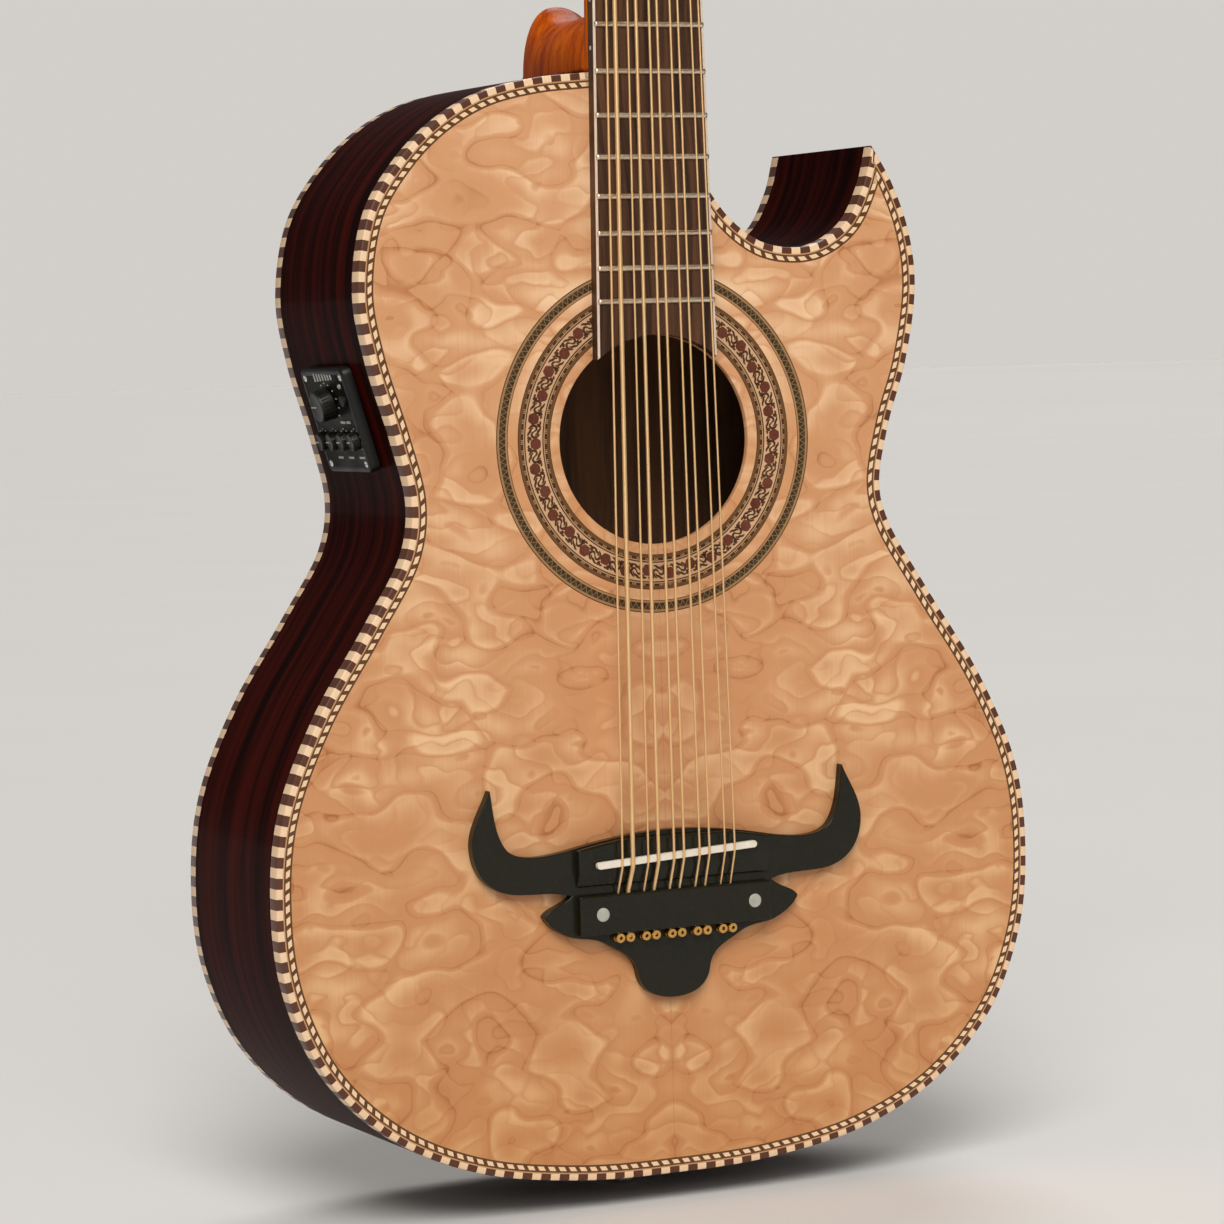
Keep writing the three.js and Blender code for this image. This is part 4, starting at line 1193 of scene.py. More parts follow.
    def rosette(self) -> list[bpy.types.Object]:
        """Inlaid rings: mosaic, maple, mosaic, floral ground, mosaic."""
        radii = (self.rosette_outer - 0.05, 68.6, 64.0, 60.1, 53.0, self.rosette_inner + 0.05)
        finishes = (
            MosaicRing("mosaic_outer", 0.45, ior=1.2, inner=68.6, outer=73.9, repeats=160),
            MAPLE,
            MosaicRing("mosaic_middle", 0.45, ior=1.2, inner=60.1, outer=64.0, repeats=90,
                       style=RingStyle.DASHES_IN), GROUND,
            MosaicRing("mosaic_inner", 0.45, ior=1.2, inner=49.0, outer=53.0, repeats=76,
                       style=RingStyle.DASHES_OUT))
        rings = []
        for k, finish in enumerate(finishes):
            outer, inner = radii[k], radii[k + 1]
            section = [(outer, 0.0), (outer, 0.9), (inner, 0.9), (inner, 0.0)]
            shape = loft([self.circle(r, y) for r, y in section], loop=True)
            rings.append(make(f"ring_{k}", shape, finish))
        return [joined("rosette_rings", rings)]

    def flowers(self, repeats: int = 34) -> list[bpy.types.Object]:
        """The floral band: a lobed flower with two leaves, then a curled scroll, in turn."""
        middle = 56.55
        steps = np.linspace(0, math.tau, 30, endpoint=False)
        wide = 2.5 + 0.12 * np.cos(6 * steps)
        bloom = ([(r * math.cos(t), r * math.sin(t) + 0.8, 0.05) for r, t in zip(wide, steps)],
                 [tuple(range(30))])
        strokes, leaves = [], []
        for m in (-1, 1):
            strokes.append(ribbon([(0.0, 0.0), (m * 0.9, m * -1.0), (m * 1.9, m * -0.9),
                                   (m * 2.5, m * 0.3), (m * 2.0, m * 1.6), (m * 0.9, m * 2.6)],
                                  0.58))
            strokes.append(ribbon([(m * 1.5, m * 0.5), (m * 0.9, m * 1.5), (m * -0.2, m * 1.9),
                                   (m * -1.3, m * 2.7), (m * -2.3, m * 2.7)], 0.54))
            leaves.append(ribbon([(m * 2.9, -2.9), (m * 2.3, -2.0), (m * 2.2, -1.0)], 0.85))
            leaves.append(ribbon([(m * 1.7, -2.9), (m * 1.2, -2.5), (m * 0.4, -2.3)], 0.5))

        def around(shift: float) -> list[Place]:
            """Places round the band, shift of a pitch further on, every other one turned."""
            spots = []
            for k in range(repeats):
                t = math.tau * (k + shift) / repeats
                turn = Matrix.Rotation(math.pi * (k % 2), 4, "Z")
                facing = Matrix.Rotation(math.pi / 2 - t, 4, "Y") @ TO_Y @ turn
                spots.append(BODY.then(middle * math.cos(t), 0.0,
                                       self.hole_height + middle * math.sin(t), facing))
            return spots

        parts = (("flowers", bloom, BLOOM, 0.0), ("leaves", self.together(leaves), SCROLL, 0.0),
                 ("scrolls", self.together(strokes), SCROLL, 0.5))
        return [Scatter(f"rosette_{name}", sample(f"{name}_one", shape, finish),
                        finish).run(around(shift)) for name, shape, finish, shift in parts]

    def build(self) -> None:
        """Makes and seats every piece of the box."""
        w, h, r = self.binding_width, self.binding_height, self.corner_radius
        section = [(w, 0.0), (r, 0.0), (r * 0.29, r * 0.29), (0.0, r), (0.0, h), (w, h)]
        inner = self.purfling_inner
        seat(self.band("binding_front", section, CHECKER),
             stands_for=["front_binding"])
        seat(self.band("purfling_front", [(w, 0.0), (w, 2.6), (inner, 2.6), (inner, 0.0)], ROPE))
        seat(self.band("binding_back", section, CHECKER, True),
             stands_for=["back_binding"])
        line = self.back_line_inner
        seat(self.band("purfling_back", [(w, 0.0), (w, 2.6), (line, 2.6), (line, 0.0)], CREAM,
                       True))
        outer_front, outer_back = self.ring(0, h), self.ring(0, h, True)
        inner_front = self.ring(self.rib_thickness, h)
        inner_back = self.ring(self.rib_thickness, h, True)
        ribs = make("ribs_bent", loft([outer_front, outer_back, inner_back, inner_front],
                                      loop=True), RIB)
        self.mark(ribs)
        self.bare_inside(ribs)
        seat(ribs, stands_for=["sides"])
        seat(self.soundboard(), stands_for=["soundboard"])
        front = self.ring(line, self.back_thickness, True)
        back = self.ring(line, 0.0, True)
        plate = self.together([self.filled([front]), self.filled([back]),
                               loft([front, back], caps=False)])
        board = make("back_bookmatched", plate, BACK)
        self.bare_inside(board)
        seat(board, stands_for=["back_plate"])
        for piece in self.rosette():
            seat(piece, stands_for=["rosette"])
        for piece in self.flowers():
            seat(piece)


@dataclass
class Interior:
    """Blocks, linings and braces keep their CAD shape and get wood."""

    nodes: tuple[str, ...] = (
        "neck_block", "tail_block", "front_lining", "back_lining", "top_brace_above_hole",
        "top_brace_below_hole", "back_brace_upper", "back_brace_lower")

    def dress(self, frame: dict) -> None:
        """Gives every inner piece the inner wood."""
        for name in self.nodes:
            piece = frame["nodes"][name]
            piece.data.materials.clear()
            piece.data.materials.append(INNER.material())
            log.info("%s: dressed in inner wood", name)


# ---- bridge -----------------------------------------------------------------------------------
@dataclass
class Bridge:
    """Bull's-head bridge with raised saddle and tie blocks, saddle, pearl dots."""

    saddle_height: float = 138.6
    base: float = 5.0
    block: float = 9.0
    block_half: float = 45.5
    saddle_block: tuple[float, float] = (-11.1, 8.4)
    tie_block: tuple[float, float] = (-31.6, -14.6)
    slant: float = math.radians(3.05)
    saddle_length: float = 76.0
    saddle_width: float = 3.0
    saddle_top: float = 11.4
    dots: tuple = ((-35.0, -23.0), (37.4, -22.8))
    dot_radius: float = 2.95

    def half_outline(self) -> list[tuple[float, float]]:
        """The treble half, from the snout's foot to the crown's middle; heights from the saddle."""
        return bezier((0, -61.6), [
            ((8, -61.6), (15.5, -58.6), (17, -50.6)),
            ((18, -41.6), (26, -40.1), (33.5, -35.3)),
            ((40, -32.6), (46, -33.6), (50, -31.3)),
            ((54, -29.6), (58.5, -26.6), (60.5, -22.6)),
            ((58.5, -19), (52, -18.6), (47.5, -14.6)),
            ((54, -12), (64, -12.8), (73, -12)),
            ((86, -10.6), (92.5, -1.6), (92.6, 9.4)),
            ((92.6, 18.4), (86.5, 25.4), (83.8, 32.9)),
            ((82.5, 24.4), (82.5, 14.4), (77, 7.4)),
            ((72, 1.9), (60, 2.7), (48, 4.9)),
            ((34, 7.9), (16, 10.6), (0, 10.6))])

    def outline(self) -> Points:
        """The whole head, round."""
        right = self.half_outline()
        left = [(-x, z) for x, z in reversed(right[1:-1])]
        return np.array(right + left) + np.array([0, self.saddle_height])

    def crown(self, x: float) -> float:
        """Height of the crown's edge above the saddle at x."""
        top = [(px, pz) for px, pz in self.half_outline()[-15:]]
        xs, zs = zip(*sorted(top))
        return float(np.interp(abs(x), xs, zs))

    def raised(self, name: str, section: Callable[[float], Sequence[tuple[float, float]]]
               ) -> bpy.types.Object:
        """A raised block lofted along X from its section in Y and Z."""
        rings = []
        for x in np.linspace(-self.block_half, self.block_half, 29):
            rings.append(np.array([(x, y, z + self.saddle_height) for y, z in section(float(x))]))
        return bevelled(make(name, loft(rings), EBONY), 0.9, 3, 30.0)

    def build(self) -> None:
        """Makes and seats the bridge's pieces."""
        low, high = self.saddle_block
        foot = -self.base + 1.0

        def saddle_section(x: float) -> list[tuple[float, float]]:
            """Top edge under the crown, ramp towards the tie block."""
            top = min(high, self.crown(x) - 0.5)
            return [(foot, top), (-self.block, top), (-self.block, -5.0),
                    (-self.block + 2.9, low), (foot, low)]

        def tie_section(_x: float) -> list[tuple[float, float]]:
            """A plain bar."""
            z0, z1 = self.tie_block
            return [(foot, z1), (-self.block, z1), (-self.block, z0), (foot, z0)]

        base = bevelled(make("bridge_base", slab(self.outline(), -self.base, 0.0), EBONY),
                        1.0, 3, 40.0)
        whole = joined("bridge_bull_head", [base, self.raised("saddle_block", saddle_section),
                                            self.raised("tie_block", tie_section)])
        seat(whole, stands_for=["bridge"])
        ends = rounded_rectangle(self.saddle_length, self.saddle_width,
                                 self.saddle_width / 2 - 0.01, 10)
        turn = BODY.then(0, 0, self.saddle_height, Matrix.Rotation(-self.slant, 4, "Y"))
        bar = make("saddle_bone", slab(ends, -self.saddle_top, -4.3), BONE, turn)
        seat(bevelled(bar, 1.0, 4), stands_for=["saddle"])
        profile = [(0, 0), (self.dot_radius, 0), (self.dot_radius, 0.5),
                   (self.dot_radius - 0.15, 0.62), (0, 0.62)]
        one = sample("dot_one", turned(profile, 32), PEARL)
        places = [BODY.then(x, -self.block + 0.5, self.saddle_height + z, TO_Y)
                  for x, z in self.dots]
        seat(Scatter("bridge_dots", one, PEARL).run(places))


# ---- neck -------------------------------------------------------------------------------------
@dataclass
class Neck:
    """Shaft with heel, headstock, fingerboard, frets and nut."""

    joint: float = 471.0
    nut: float = 801.0
    scale: float = 660.0
    joint_width: float = 52.4
    nut_width: float = 42.0
    board: float = 5.5
    heel_deep: float = 92.0
    heel_back_half: float = 15.0
    hole_height: float = 315.5
    hole_radius: float = 44.5
    edge: float = 1.15
    inlay: float = 0.7
    frets: int = 18
    head_length: float = 178.0
    head_thickness: float = 15.0
    heel_levels: tuple = (4.0, 12.0, 24.0, 40.0, 52.0, 60.0, 68.0, 75.0, 81.0, 86.0, 89.5, 91.3)
    heel_rise: tuple = (25.5, 26.0, 26.8, 27.0, 26.4, 26.0, 26.6, 29.6, 33.0, 34.6, 33.2, 29.0)

    def half(self, z: float) -> float:
        """Half the board's width at a height."""
        share = (z - self.joint) / (self.nut - self.joint)
        return (self.joint_width + (self.nut_width - self.joint_width) * share) / 2

    def shaft(self) -> bpy.types.Object:
        """The carved shaft, its end under the headstock."""
        rings = []
        turns = np.linspace(0, math.pi, 49)
        for z in np.concatenate([np.linspace(self.joint + 0.3, 790, 60),
                                 np.linspace(793, HEAD_FOOT + 16, 14)]):
            lean = max(0.0, z - HEAD_FOOT) * math.tan(HEAD_ANGLE)
            top = lean + (0.8 if z > HEAD_FOOT - 4 else 0.0)
            deep = float(np.interp(z, (self.joint, self.nut), (17.5, 15.5)))
            ridge = 2.2 * math.exp(-((z - HEAD_FOOT) / 8.0) ** 2)
            back = deep + lean + ridge - 0.12 * max(0.0, z - HEAD_FOOT)
            half = self.half(min(z, self.nut)) - 0.1
            rings.append(np.array([(half * math.cos(t), top + (back - top)
                                    * math.sin(t) ** 0.86, z) for t in turns]))
        return make("shaft_raw", loft(rings), MAHOGANY)

    def heel_ring(self, level: float, rise: float) -> Points:
        """The heel's section at a level: a rounded lobe on the body's rim."""
        share = (level / self.heel_deep) ** 2
        half = (self.half(self.joint) - 0.3) * (1 - share) + self.heel_back_half * share
        turns = np.linspace(0, math.pi, 41)
        power = 2 / 2.5
        return np.array([(half * math.copysign(abs(math.cos(t)) ** power, math.cos(t)), level,
                          self.joint + 0.3 + rise * math.sin(t) ** power) for t in turns])

    def carved(self) -> bpy.types.Object:
        """Shaft and heel grown together as one piece of wood."""
        levels = np.linspace(self.heel_levels[0], self.heel_levels[-1], 60)
        rises = np.interp(levels, self.heel_levels, self.heel_rise)
        heel = make("heel_raw", loft([self.heel_ring(y, r) for y, r in zip(levels, rises)]),
                    MAHOGANY)
        whole = joined("neck_carved", [self.shaft(), heel])
        grow = whole.modifiers.new("grow", "REMESH")
        grow.mode = "VOXEL"
        grow.voxel_size = 1.0 * MM
        ease = whole.modifiers.new("ease", "SMOOTH")
        ease.factor = 0.5
        ease.iterations = 5
        settle(whole)
        whole.data.polygons.foreach_set("use_smooth", [True] * len(whole.data.polygons))
        whole.data.materials.clear()
        whole.data.materials.append(MAHOGANY.material())
        return whole

    def head_outline(self, shrink: float = 0.0) -> Points:
        """The headstock seen from the front, in its own frame."""
        low, top, foot, flare, crown = 35.0, 38.0, 21.0, 22.0, 9.0
        high = self.head_length - crown
        right = bezier((foot, 0.6), [((foot, 11), (low, 11), (low, flare)),
                                     ((low + 0.7, 80), (top - 0.7, 120), (top, high)),
                                     ((top * 0.72, high), (top * 0.46, high),
                                      (top / 3, self.head_length)),
                                     ((top / 6, self.head_length - crown / 3),
                                      (top / 12, self.head_length - crown / 2),
                                      (0, self.head_length - crown / 2))], 12)
        left = [(-x, z) for x, z in reversed(right[:-1])]
        points = np.array(right + left)
        middle = np.array([0, self.head_length / 2])
        return middle + (points - middle) * (1 - shrink / 38.0)

    def fret_row(self) -> bpy.types.Object:
        """Frets on their 12-step rule, each as wide as the board where it sits."""
        crown = [(-1.2, 0.0), (-1.15, 0.45), (-0.85, 0.88), (-0.4, 1.08), (0, 1.13), (0.4, 1.08),
                 (0.85, 0.88), (1.15, 0.45), (1.2, 0.0), (0, -0.3)]
        rings = [np.array([(x, -k * rise, k * dz) for dz, rise in crown])
                 for x, k in ((-1, 0.75), (-0.965, 1.0), (0.965, 1.0), (1, 0.75))]
        bar = sample("fret_one", loft(rings), FRET_WIRE, crease=50)
        tree = Tree("fret_rule", {
            "Sample": bar, "Finish": FRET_WIRE.material(), "Scale length": self.scale * MM,
            "Nut": (self.nut + ROW_SHIFT[2]) * MM, "Level": (-self.board + ROW_SHIFT[1]) * MM,
            "Nut half": self.half(self.nut) - 0.25,
            "Flare": (self.half(self.joint) - self.half(self.nut)) / (self.nut - self.joint) / MM,
            "Frets": self.frets})
        kit = tree.kit
        row = kit.node("GeometryNodeMeshLine", {"Count": tree.input("Frets")},
                       mode="OFFSET")
        number = kit.math("ADD", kit.node("GeometryNodeInputIndex").outputs[0], 1.0)
        left = kit.math("POWER", 2.0, kit.math("DIVIDE", number, -12.0))
        drop = kit.math("MULTIPLY", tree.input("Scale length"), kit.math("SUBTRACT", 1.0, left))
        height = kit.math("SUBTRACT", tree.input("Nut"), drop)
        spot = kit.node("ShaderNodeCombineXYZ", {1: tree.input("Level"), 2: height})
        moved = kit.node("GeometryNodeSetPosition", {"Geometry": row.outputs[0],
                                                     "Position": spot.outputs[0]})
        wide = kit.math("MULTIPLY_ADD", drop, tree.input("Flare"), tree.input("Nut half"))
        size = kit.node("ShaderNodeCombineXYZ", {0: wide, 1: 1.0, 2: 1.0})
        info = kit.node("GeometryNodeObjectInfo", {"Object": tree.input("Sample")})
        bars = kit.node("GeometryNodeInstanceOnPoints", {
            "Points": moved.outputs[0], "Instance": info.outputs["Geometry"],
            "Scale": size.outputs[0]})
        tree.close(bars.outputs[0])
        host = bpy.data.objects.new("fret_row", bpy.data.meshes.new("fret_row"))
        bpy.context.scene.collection.objects.link(host)
        made = tree.run(host)
        bpy.data.objects.remove(bar)
        return made

    def board_pieces(self) -> tuple[bpy.types.Object, bpy.types.Object]:
        """The fingerboard, hollowed to the soundhole at its end, and its edge binding."""
        end = self.half(self.hole_height + self.hole_radius * 0.75)
        inner = end - self.edge

        def arc(half: float) -> list[tuple[float, float]]:
            """Points of the hollow end between -half and half."""
            low = math.acos(half / self.hole_radius)
            turns = np.linspace(math.pi - low, low, 25)
            return [(self.hole_radius * math.cos(t),
                     self.hole_height + self.hole_radius * math.sin(t)) for t in turns]

        low = -self.board + self.inlay

        def board(name: str, half_end: float, cut: float, front: float, back: float
                  ) -> bpy.types.Object:
            """A layer of the board, its sides cut inwards by cut."""
            outline = [(-self.nut_width / 2 + cut, self.nut), *arc(half_end),
                       (self.nut_width / 2 - cut, self.nut)]
            return make(name, slab(np.array(outline), front, back), ROSEWOOD)

        wood = joined("fingerboard_core", [board("board_low", end, 0.0, low, 0.0),
                                           board("board_top", inner, self.edge, -self.board,
                                                 low)])
        strips = []
        for sign in (-1, 1):
            outer, near = arc(end)[-1], arc(inner)[-1]
            strip = [(sign * self.nut_width / 2, self.nut), (sign * outer[0], outer[1]),
                     (sign * near[0], near[1]),
                     (sign * (self.nut_width / 2 - self.edge), self.nut)]
            piece = make(f"strip_{sign}", slab(np.array(strip), -self.board, low), CREAM)
            strips.append(bevelled(piece, 0.2, 2, 60.0))
        return wood, joined("fingerboard_edges", strips)

    def build(self) -> None:
        """Makes and seats the neck's pieces."""
        seat(self.carved(), stands_for=["neck"])
        cap = [self.heel_ring(y, r) for y, r in ((91.2, 12.2), (92.6, 12.0))]
        seat(bevelled(make("heel_cap_plate", loft(cap), VENEER), 0.4, 2, 50))
        core = make("head_core", slab(self.head_outline(), 0.9, self.head_thickness), MAHOGANY,
                    HEAD)
        seat(bevelled(core, 1.1, 3, 50.0))
        face = make("head_veneer_plate", slab(self.head_outline(0.25), 0.0, 0.95), VENEER, HEAD)
        seat(bevelled(face, 0.3, 2, 50.0))
        wood, edges = self.board_pieces()
        seat(wood, stands_for=["fingerboard"])
        seat(edges)
        seat(self.fret_row(), stands_for=["frets"])
        self.side_dots()
        self.nut_bar()

    def side_dots(self) -> None:
        """Small dots along the bass edge of the board."""
        one = sample("side_dot_one", turned([(0, 0), (1.0, 0), (1.0, 0.5), (0.8, 0.62),
                                             (0, 0.62)], 20), PEARL)
        places = []
        for number in (3, 5, 7, 9, 11, 12):
            low, high = (self.nut - self.scale * (1 - 2 ** (-n / 12))
                         for n in (number, number - 1))
            z = (low + high) / 2
            places.append(BODY.then(-self.half(z) + 0.5, -2.2, z,
                                    Matrix.Rotation(math.radians(-90), 4, "Y")))
        seat(Scatter("side_dots", one, PEARL).run(places))

    def nut_bar(self) -> None:
        """The bone nut with a slot under each string."""
        slots = sorted(Strings().nut_x(i) for i in range(10))
        top = -(self.board + 1.5)
        line = [(-self.nut_width / 2, 0.0), (-self.nut_width / 2, top - 0.3)]
        for x in slots:
            line += [(x - 0.8, top - 0.6), (x - 0.5, top), (x + 0.5, top), (x + 0.8, top - 0.6)]
        line += [(self.nut_width / 2, top - 0.3), (self.nut_width / 2, 0.0)]
        rings = [np.array([(x, y, z) for x, y in line]) for z in (self.nut + 0.05, self.nut + 5)]
        seat(bevelled(make("nut_bone", loft(rings), BONE), 0.2, 2, 50.0),
             stands_for=["nut"])


# ---- strings ----------------------------------------------------------------------------------
@dataclass
class Strings:
    """Ten strings in five courses, their ball ends and the turns round the posts."""

    gauges: tuple = (1.0, 2.0, 0.95, 1.6, 1.2, 1.2, 1.05, 1.05, 0.9, 0.9)
    saddle_pitch: float = 12.2
    saddle_pair: float = 4.7
    nut_pitch: float = 7.9
    nut_pair: float = 2.8
    saddle: float = 138.6
    slant: float = math.tan(math.radians(3.05))
    saddle_top: float = 11.4
    nut_top: float = 7.0
    nut: float = 801.0
    tie: tuple[float, float] = (-31.6, -14.6)
    tie_level: float = -7.0
    post_x: float = 24.0
    post_radius: float = 3.0
    first_post: float = 30.0
    post_pitch: float = 29.0
    turns: float = 2.6

    def place_x(self, i: int, pitch: float, pair: float) -> float:
        """X of string i where courses are pitch apart and their strings pair apart."""
        return (i // 2 - 2) * pitch + (pair if i % 2 else -pair) / 2

    def nut_x(self, i: int) -> float:
        """X of string i at the nut."""
        return self.place_x(i, self.nut_pitch, self.nut_pair)

    def post(self, i: int) -> tuple[int, int]:
        """The side, -1 or 1, and the number from 0 of string i's post."""
        return (-1, i) if i < 5 else (1, 9 - i)

    def path(self, i: int) -> list[tuple[float, float, float]]:
        """String i from its ball end to the post, in the instrument's frame."""
        r = self.gauges[i] / 2
        x = self.place_x(i, self.saddle_pitch, self.saddle_pair)
        top = self.saddle + x * self.slant
        over = -self.saddle_top - 0.1 - r
        side, k = self.post(i)
        end = HEAD.matrix @ Vector((side * (self.post_x - self.post_radius - r), -6.0,
                                    self.first_post + self.post_pitch * k + 2.0))
        nut_y = -self.nut_top - 0.1 - r
        nx = self.nut_x(i)
        return [(x, self.tie_level, self.saddle + self.tie[0] - 2.2),
                (x, self.tie_level, self.saddle + self.tie[1] + 0.6),
                (x, self.tie_level - 0.25, self.saddle + self.tie[1] + 1.4),
                (x, over + 0.35, top - 2.2), (x, over + 0.03, top - 0.9), (x, over, top + 0.9),
                (nx, nut_y, self.nut), (nx, nut_y, self.nut + 4), (nx, nut_y + 0.4, self.nut + 6),
                tuple(end)]

    def build(self) -> None:
        """Makes and seats the strings, the turns on the posts and the ball ends."""
        for i, gauge in enumerate(self.gauges):
            sweep = Sweep(f"string_wound_{i + 1}", gauge / 2, WIRE)
            seat(sweep.run(self.path(i)), stands_for=[f"string_{i + 1}"])
            side, k = self.post(i)
            r = gauge / 2
            steps = np.linspace(0, self.turns * math.tau, 60)
            reach = self.post_radius + r
            start = math.pi if side > 0 else 0.0
            coil = [(side * self.post_x + reach * math.cos(start - side * t),
                     -6.0 + (gauge + 0.05) * t / math.tau,
                     self.first_post + self.post_pitch * k
                     + reach * math.sin(start - side * t)) for t in steps]
            name = f"{'bass' if side < 0 else 'treble'}_{k + 1}"
            wrap = Sweep(f"string_turns_{name}", r, WIRE, 8).run(coil, HEAD)
            seat(wrap, body=f"string_post_{name}")
        spool = turned([(0.75, -1.5), (1.9, -1.5), (2.1, -1.2), (1.6, -0.4), (1.6, 0.4),
                        (2.1, 1.2), (1.9, 1.5), (0.75, 1.5)], 24)
        places = [BODY.then(self.place_x(i, self.saddle_pitch, self.saddle_pair),
                            self.tie_level, self.saddle + self.tie[0] - 2.1, TO_Y)
                  for i in range(10)]
        ends = Scatter("ball_ends", sample("ball_one", spool, BRASS, crease=40), BRASS)
        seat(ends.run(places))


# ---- tuners -----------------------------------------------------------------------------------
@dataclass
class Tuners:
    """Two plates of open tuners: posts with gear wheels, worms with keys, lugs and screws."""

    thickness: float = 15.3
    plate: float = 1.2
    plate_width: float = 17.0
    plate_inner: float = 17.0
    first: float = 30.0
    pitch: float = 29.0
    margin: float = 11.0
    post_x: float = 24.0
    worm_level: float = 19.5
    worm_drop: float = 8.4
    gear_radius: float = 5.5
    teeth: int = 15
    key_x: float = 50.0

    def gear(self) -> Shape:
        """A toothed wheel round local Z."""
        outline = []
        for k in range(self.teeth):
            for share, radius in ((0.0, 4.7), (0.22, self.gear_radius), (0.5, self.gear_radius),
                                  (0.72, 4.7)):
                t = math.tau * (k + share) / self.teeth
                outline.append((radius * math.cos(t), radius * math.sin(t)))
        return loft([np.array([(a, b, h) for a, b in outline]) for h in (-1.5, 1.5)])

    def post(self, side: int, k: int) -> bpy.types.Object:
        """One post: turned shaft with a waist for the string, a domed end, gear and screw."""
        at = HEAD.then(side * self.post_x, 0, self.first + self.pitch * k, TO_Y)
        shaft = turned([(0, -18.0), (2.9, -18.0), (2.9, 4.0), (2.75, 5.0), (2.75, 9.0),
                        (3.0, 10.0), (3.0, 12.6), (2.6, 13.6), (1.6, 14.0), (0, 14.0)], 28)
        parts = [make("post_shaft", shaft, NICKEL, at),
                 make("post_gear", self.gear(), BRASS, at.then(0, 0, -self.worm_level), crease=20),
                 make("post_screw", turned([(0, -1.0), (2.2, -1.0), (2.2, -0.2), (1.9, 0.2),
                                            (0, 0.2)], 20), NICKEL,
                      at.then(0, 0, -self.worm_level - 1.6))]
        return joined(f"post_turned_{'bass' if side < 0 else 'treble'}_{k + 1}", parts)

    def key(self, side: int, k: int) -> bpy.types.Object:
        """One key: threaded worm, shaft with a collar, and a flat oval button."""
        at = HEAD.then(0, self.worm_level, self.first + self.pitch * k + self.worm_drop,
                       TO_X if side > 0 else Matrix.Rotation(math.radians(-90), 4, "Y"))
        x0 = self.plate_inner
        rod = turned([(0, x0), (1.9, x0), (1.9, x0 + 13.4), (2.5, x0 + 13.6), (2.5, x0 + 15.2),
                      (1.8, x0 + 15.6), (1.7, 40.5), (2.4, 42.0), (0, 42.4)], 24)
        steps = np.linspace(0, 5.5 * math.tau, 110)
        thread = [(2.0 * math.cos(t), 2.0 * math.sin(t), x0 + 1.4 + 1.95 * t / math.tau)
                  for t in steps]
        worm = Sweep("worm_thread", 0.6, BRASS, 6).run(thread, at)
        rings = []
        for share in np.linspace(-1, 1, 19):
            wide = math.sqrt(max(1e-5, 1 - abs(share) ** 2.4))
            steps2 = np.arange(28) * math.tau / 28
            rings.append(np.stack([7.2 * wide * np.cos(steps2), 3.6 * (0.35 + 0.65 * wide)
                                   * wide * np.sin(steps2),
                                   np.full(28, self.key_x + 7.9 * share)], 1))
        button = make("key_button", loft(rings), NICKEL, at, crease=60)
        parts = [make("key_rod", rod, NICKEL, at), worm, button]
        return joined(f"key_turned_{'bass' if side < 0 else 'treble'}_{k + 1}", parts)

    def plates(self) -> None:
        """Plates with rounded ends, the lugs that carry the worms, screws and front collars."""
        low = self.first - self.margin
        high = self.first + 4 * self.pitch + self.margin + self.worm_drop
        lugs, screws, collars = [], [], []
        for side, name in ((-1, "bass"), (1, "treble")):
            middle = side * (self.plate_inner + self.plate_width / 2)
            outline = rounded_rectangle(self.plate_width, high - low, 4.0)
            outline = outline + np.array([middle, (low + high) / 2])
            strip = slab(outline, self.thickness, self.thickness + self.plate)
            piece = make(f"plate_{name}", strip, NICKEL, HEAD)
            seat(bevelled(piece, 0.3, 2), stands_for=[f"tuner_plate_{name}"])
            for k in range(5):
                z = self.first + self.pitch * k
                collars.append(HEAD.then(side * self.post_x, 0, z, TO_Y))
                for reach in (18.2, 29.2):
                    lugs.append(HEAD.then(side * reach, self.thickness + self.plate,
                                          z + self.worm_drop))
            for k in range(6):
                z = low + 4 if k == 0 else self.first + self.pitch * (k - 1) + 17.5
                screws.append(HEAD.then(side * (self.plate_inner + 3.2 + 10.2 * (k % 2)),
                                        self.thickness + self.plate, min(z, high - 4),
                                        Matrix.Rotation(math.radians(-90), 4, "X")))
        lug = sample("lug_one", rounded_box((1.6, 5.6, 7.4), (0, 2.8, 0)), NICKEL, 0.7)
        seat(Scatter("tuner_lugs", lug, NICKEL).run(lugs))
        seat(Scatter("plate_screws", screw_sample(1.9), NICKEL).run(screws))
        collar = sample("collar_one", turned([(3.2, 0), (5.2, 0), (5.2, 0.8), (4.4, 1.5),
                                              (3.2, 1.5)], 28), NICKEL)
        seat(Scatter("post_collars", collar, NICKEL).run(collars))

    def build(self) -> None:
        """Makes and seats the tuners."""
        self.plates()
        for side, name in ((-1, "bass"), (1, "treble")):
            for k in range(5):
                seat(self.post(side, k), f"string_post_{name}_{k + 1}",
                     [f"string_post_{name}_{k + 1}"])
                seat(self.key(side, k), f"tuning_key_{name}_{k + 1}",
                     [f"tuning_key_{name}_{k + 1}"])


def screw_sample(radius: float) -> bpy.types.Object:
    """A domed cross-head screw round local Z, its foot at 0."""
    count = 24
    rings = []
    for share, height in ((1.0, 0.0), (1.0, 0.12), (0.86, 0.34), (0.55, 0.48), (0.3, 0.5)):
        steps = np.arange(count) * math.tau / count
        reach = radius * share
        dip = np.where(np.isclose(np.mod(steps, math.pi / 2), 0), 0.28 if share < 0.6 else 0.0, 0)
        rings.append(np.stack([reach * np.cos(steps), reach * np.sin(steps),
                               np.full(count, height * radius / 1.9) - dip], 1))
    rings.append(np.stack([0 * steps, 0 * steps, np.full(count, 0.1)], 1))
    shape = loft(rings, caps=False)
    return sample("screw_one", shape, NICKEL)


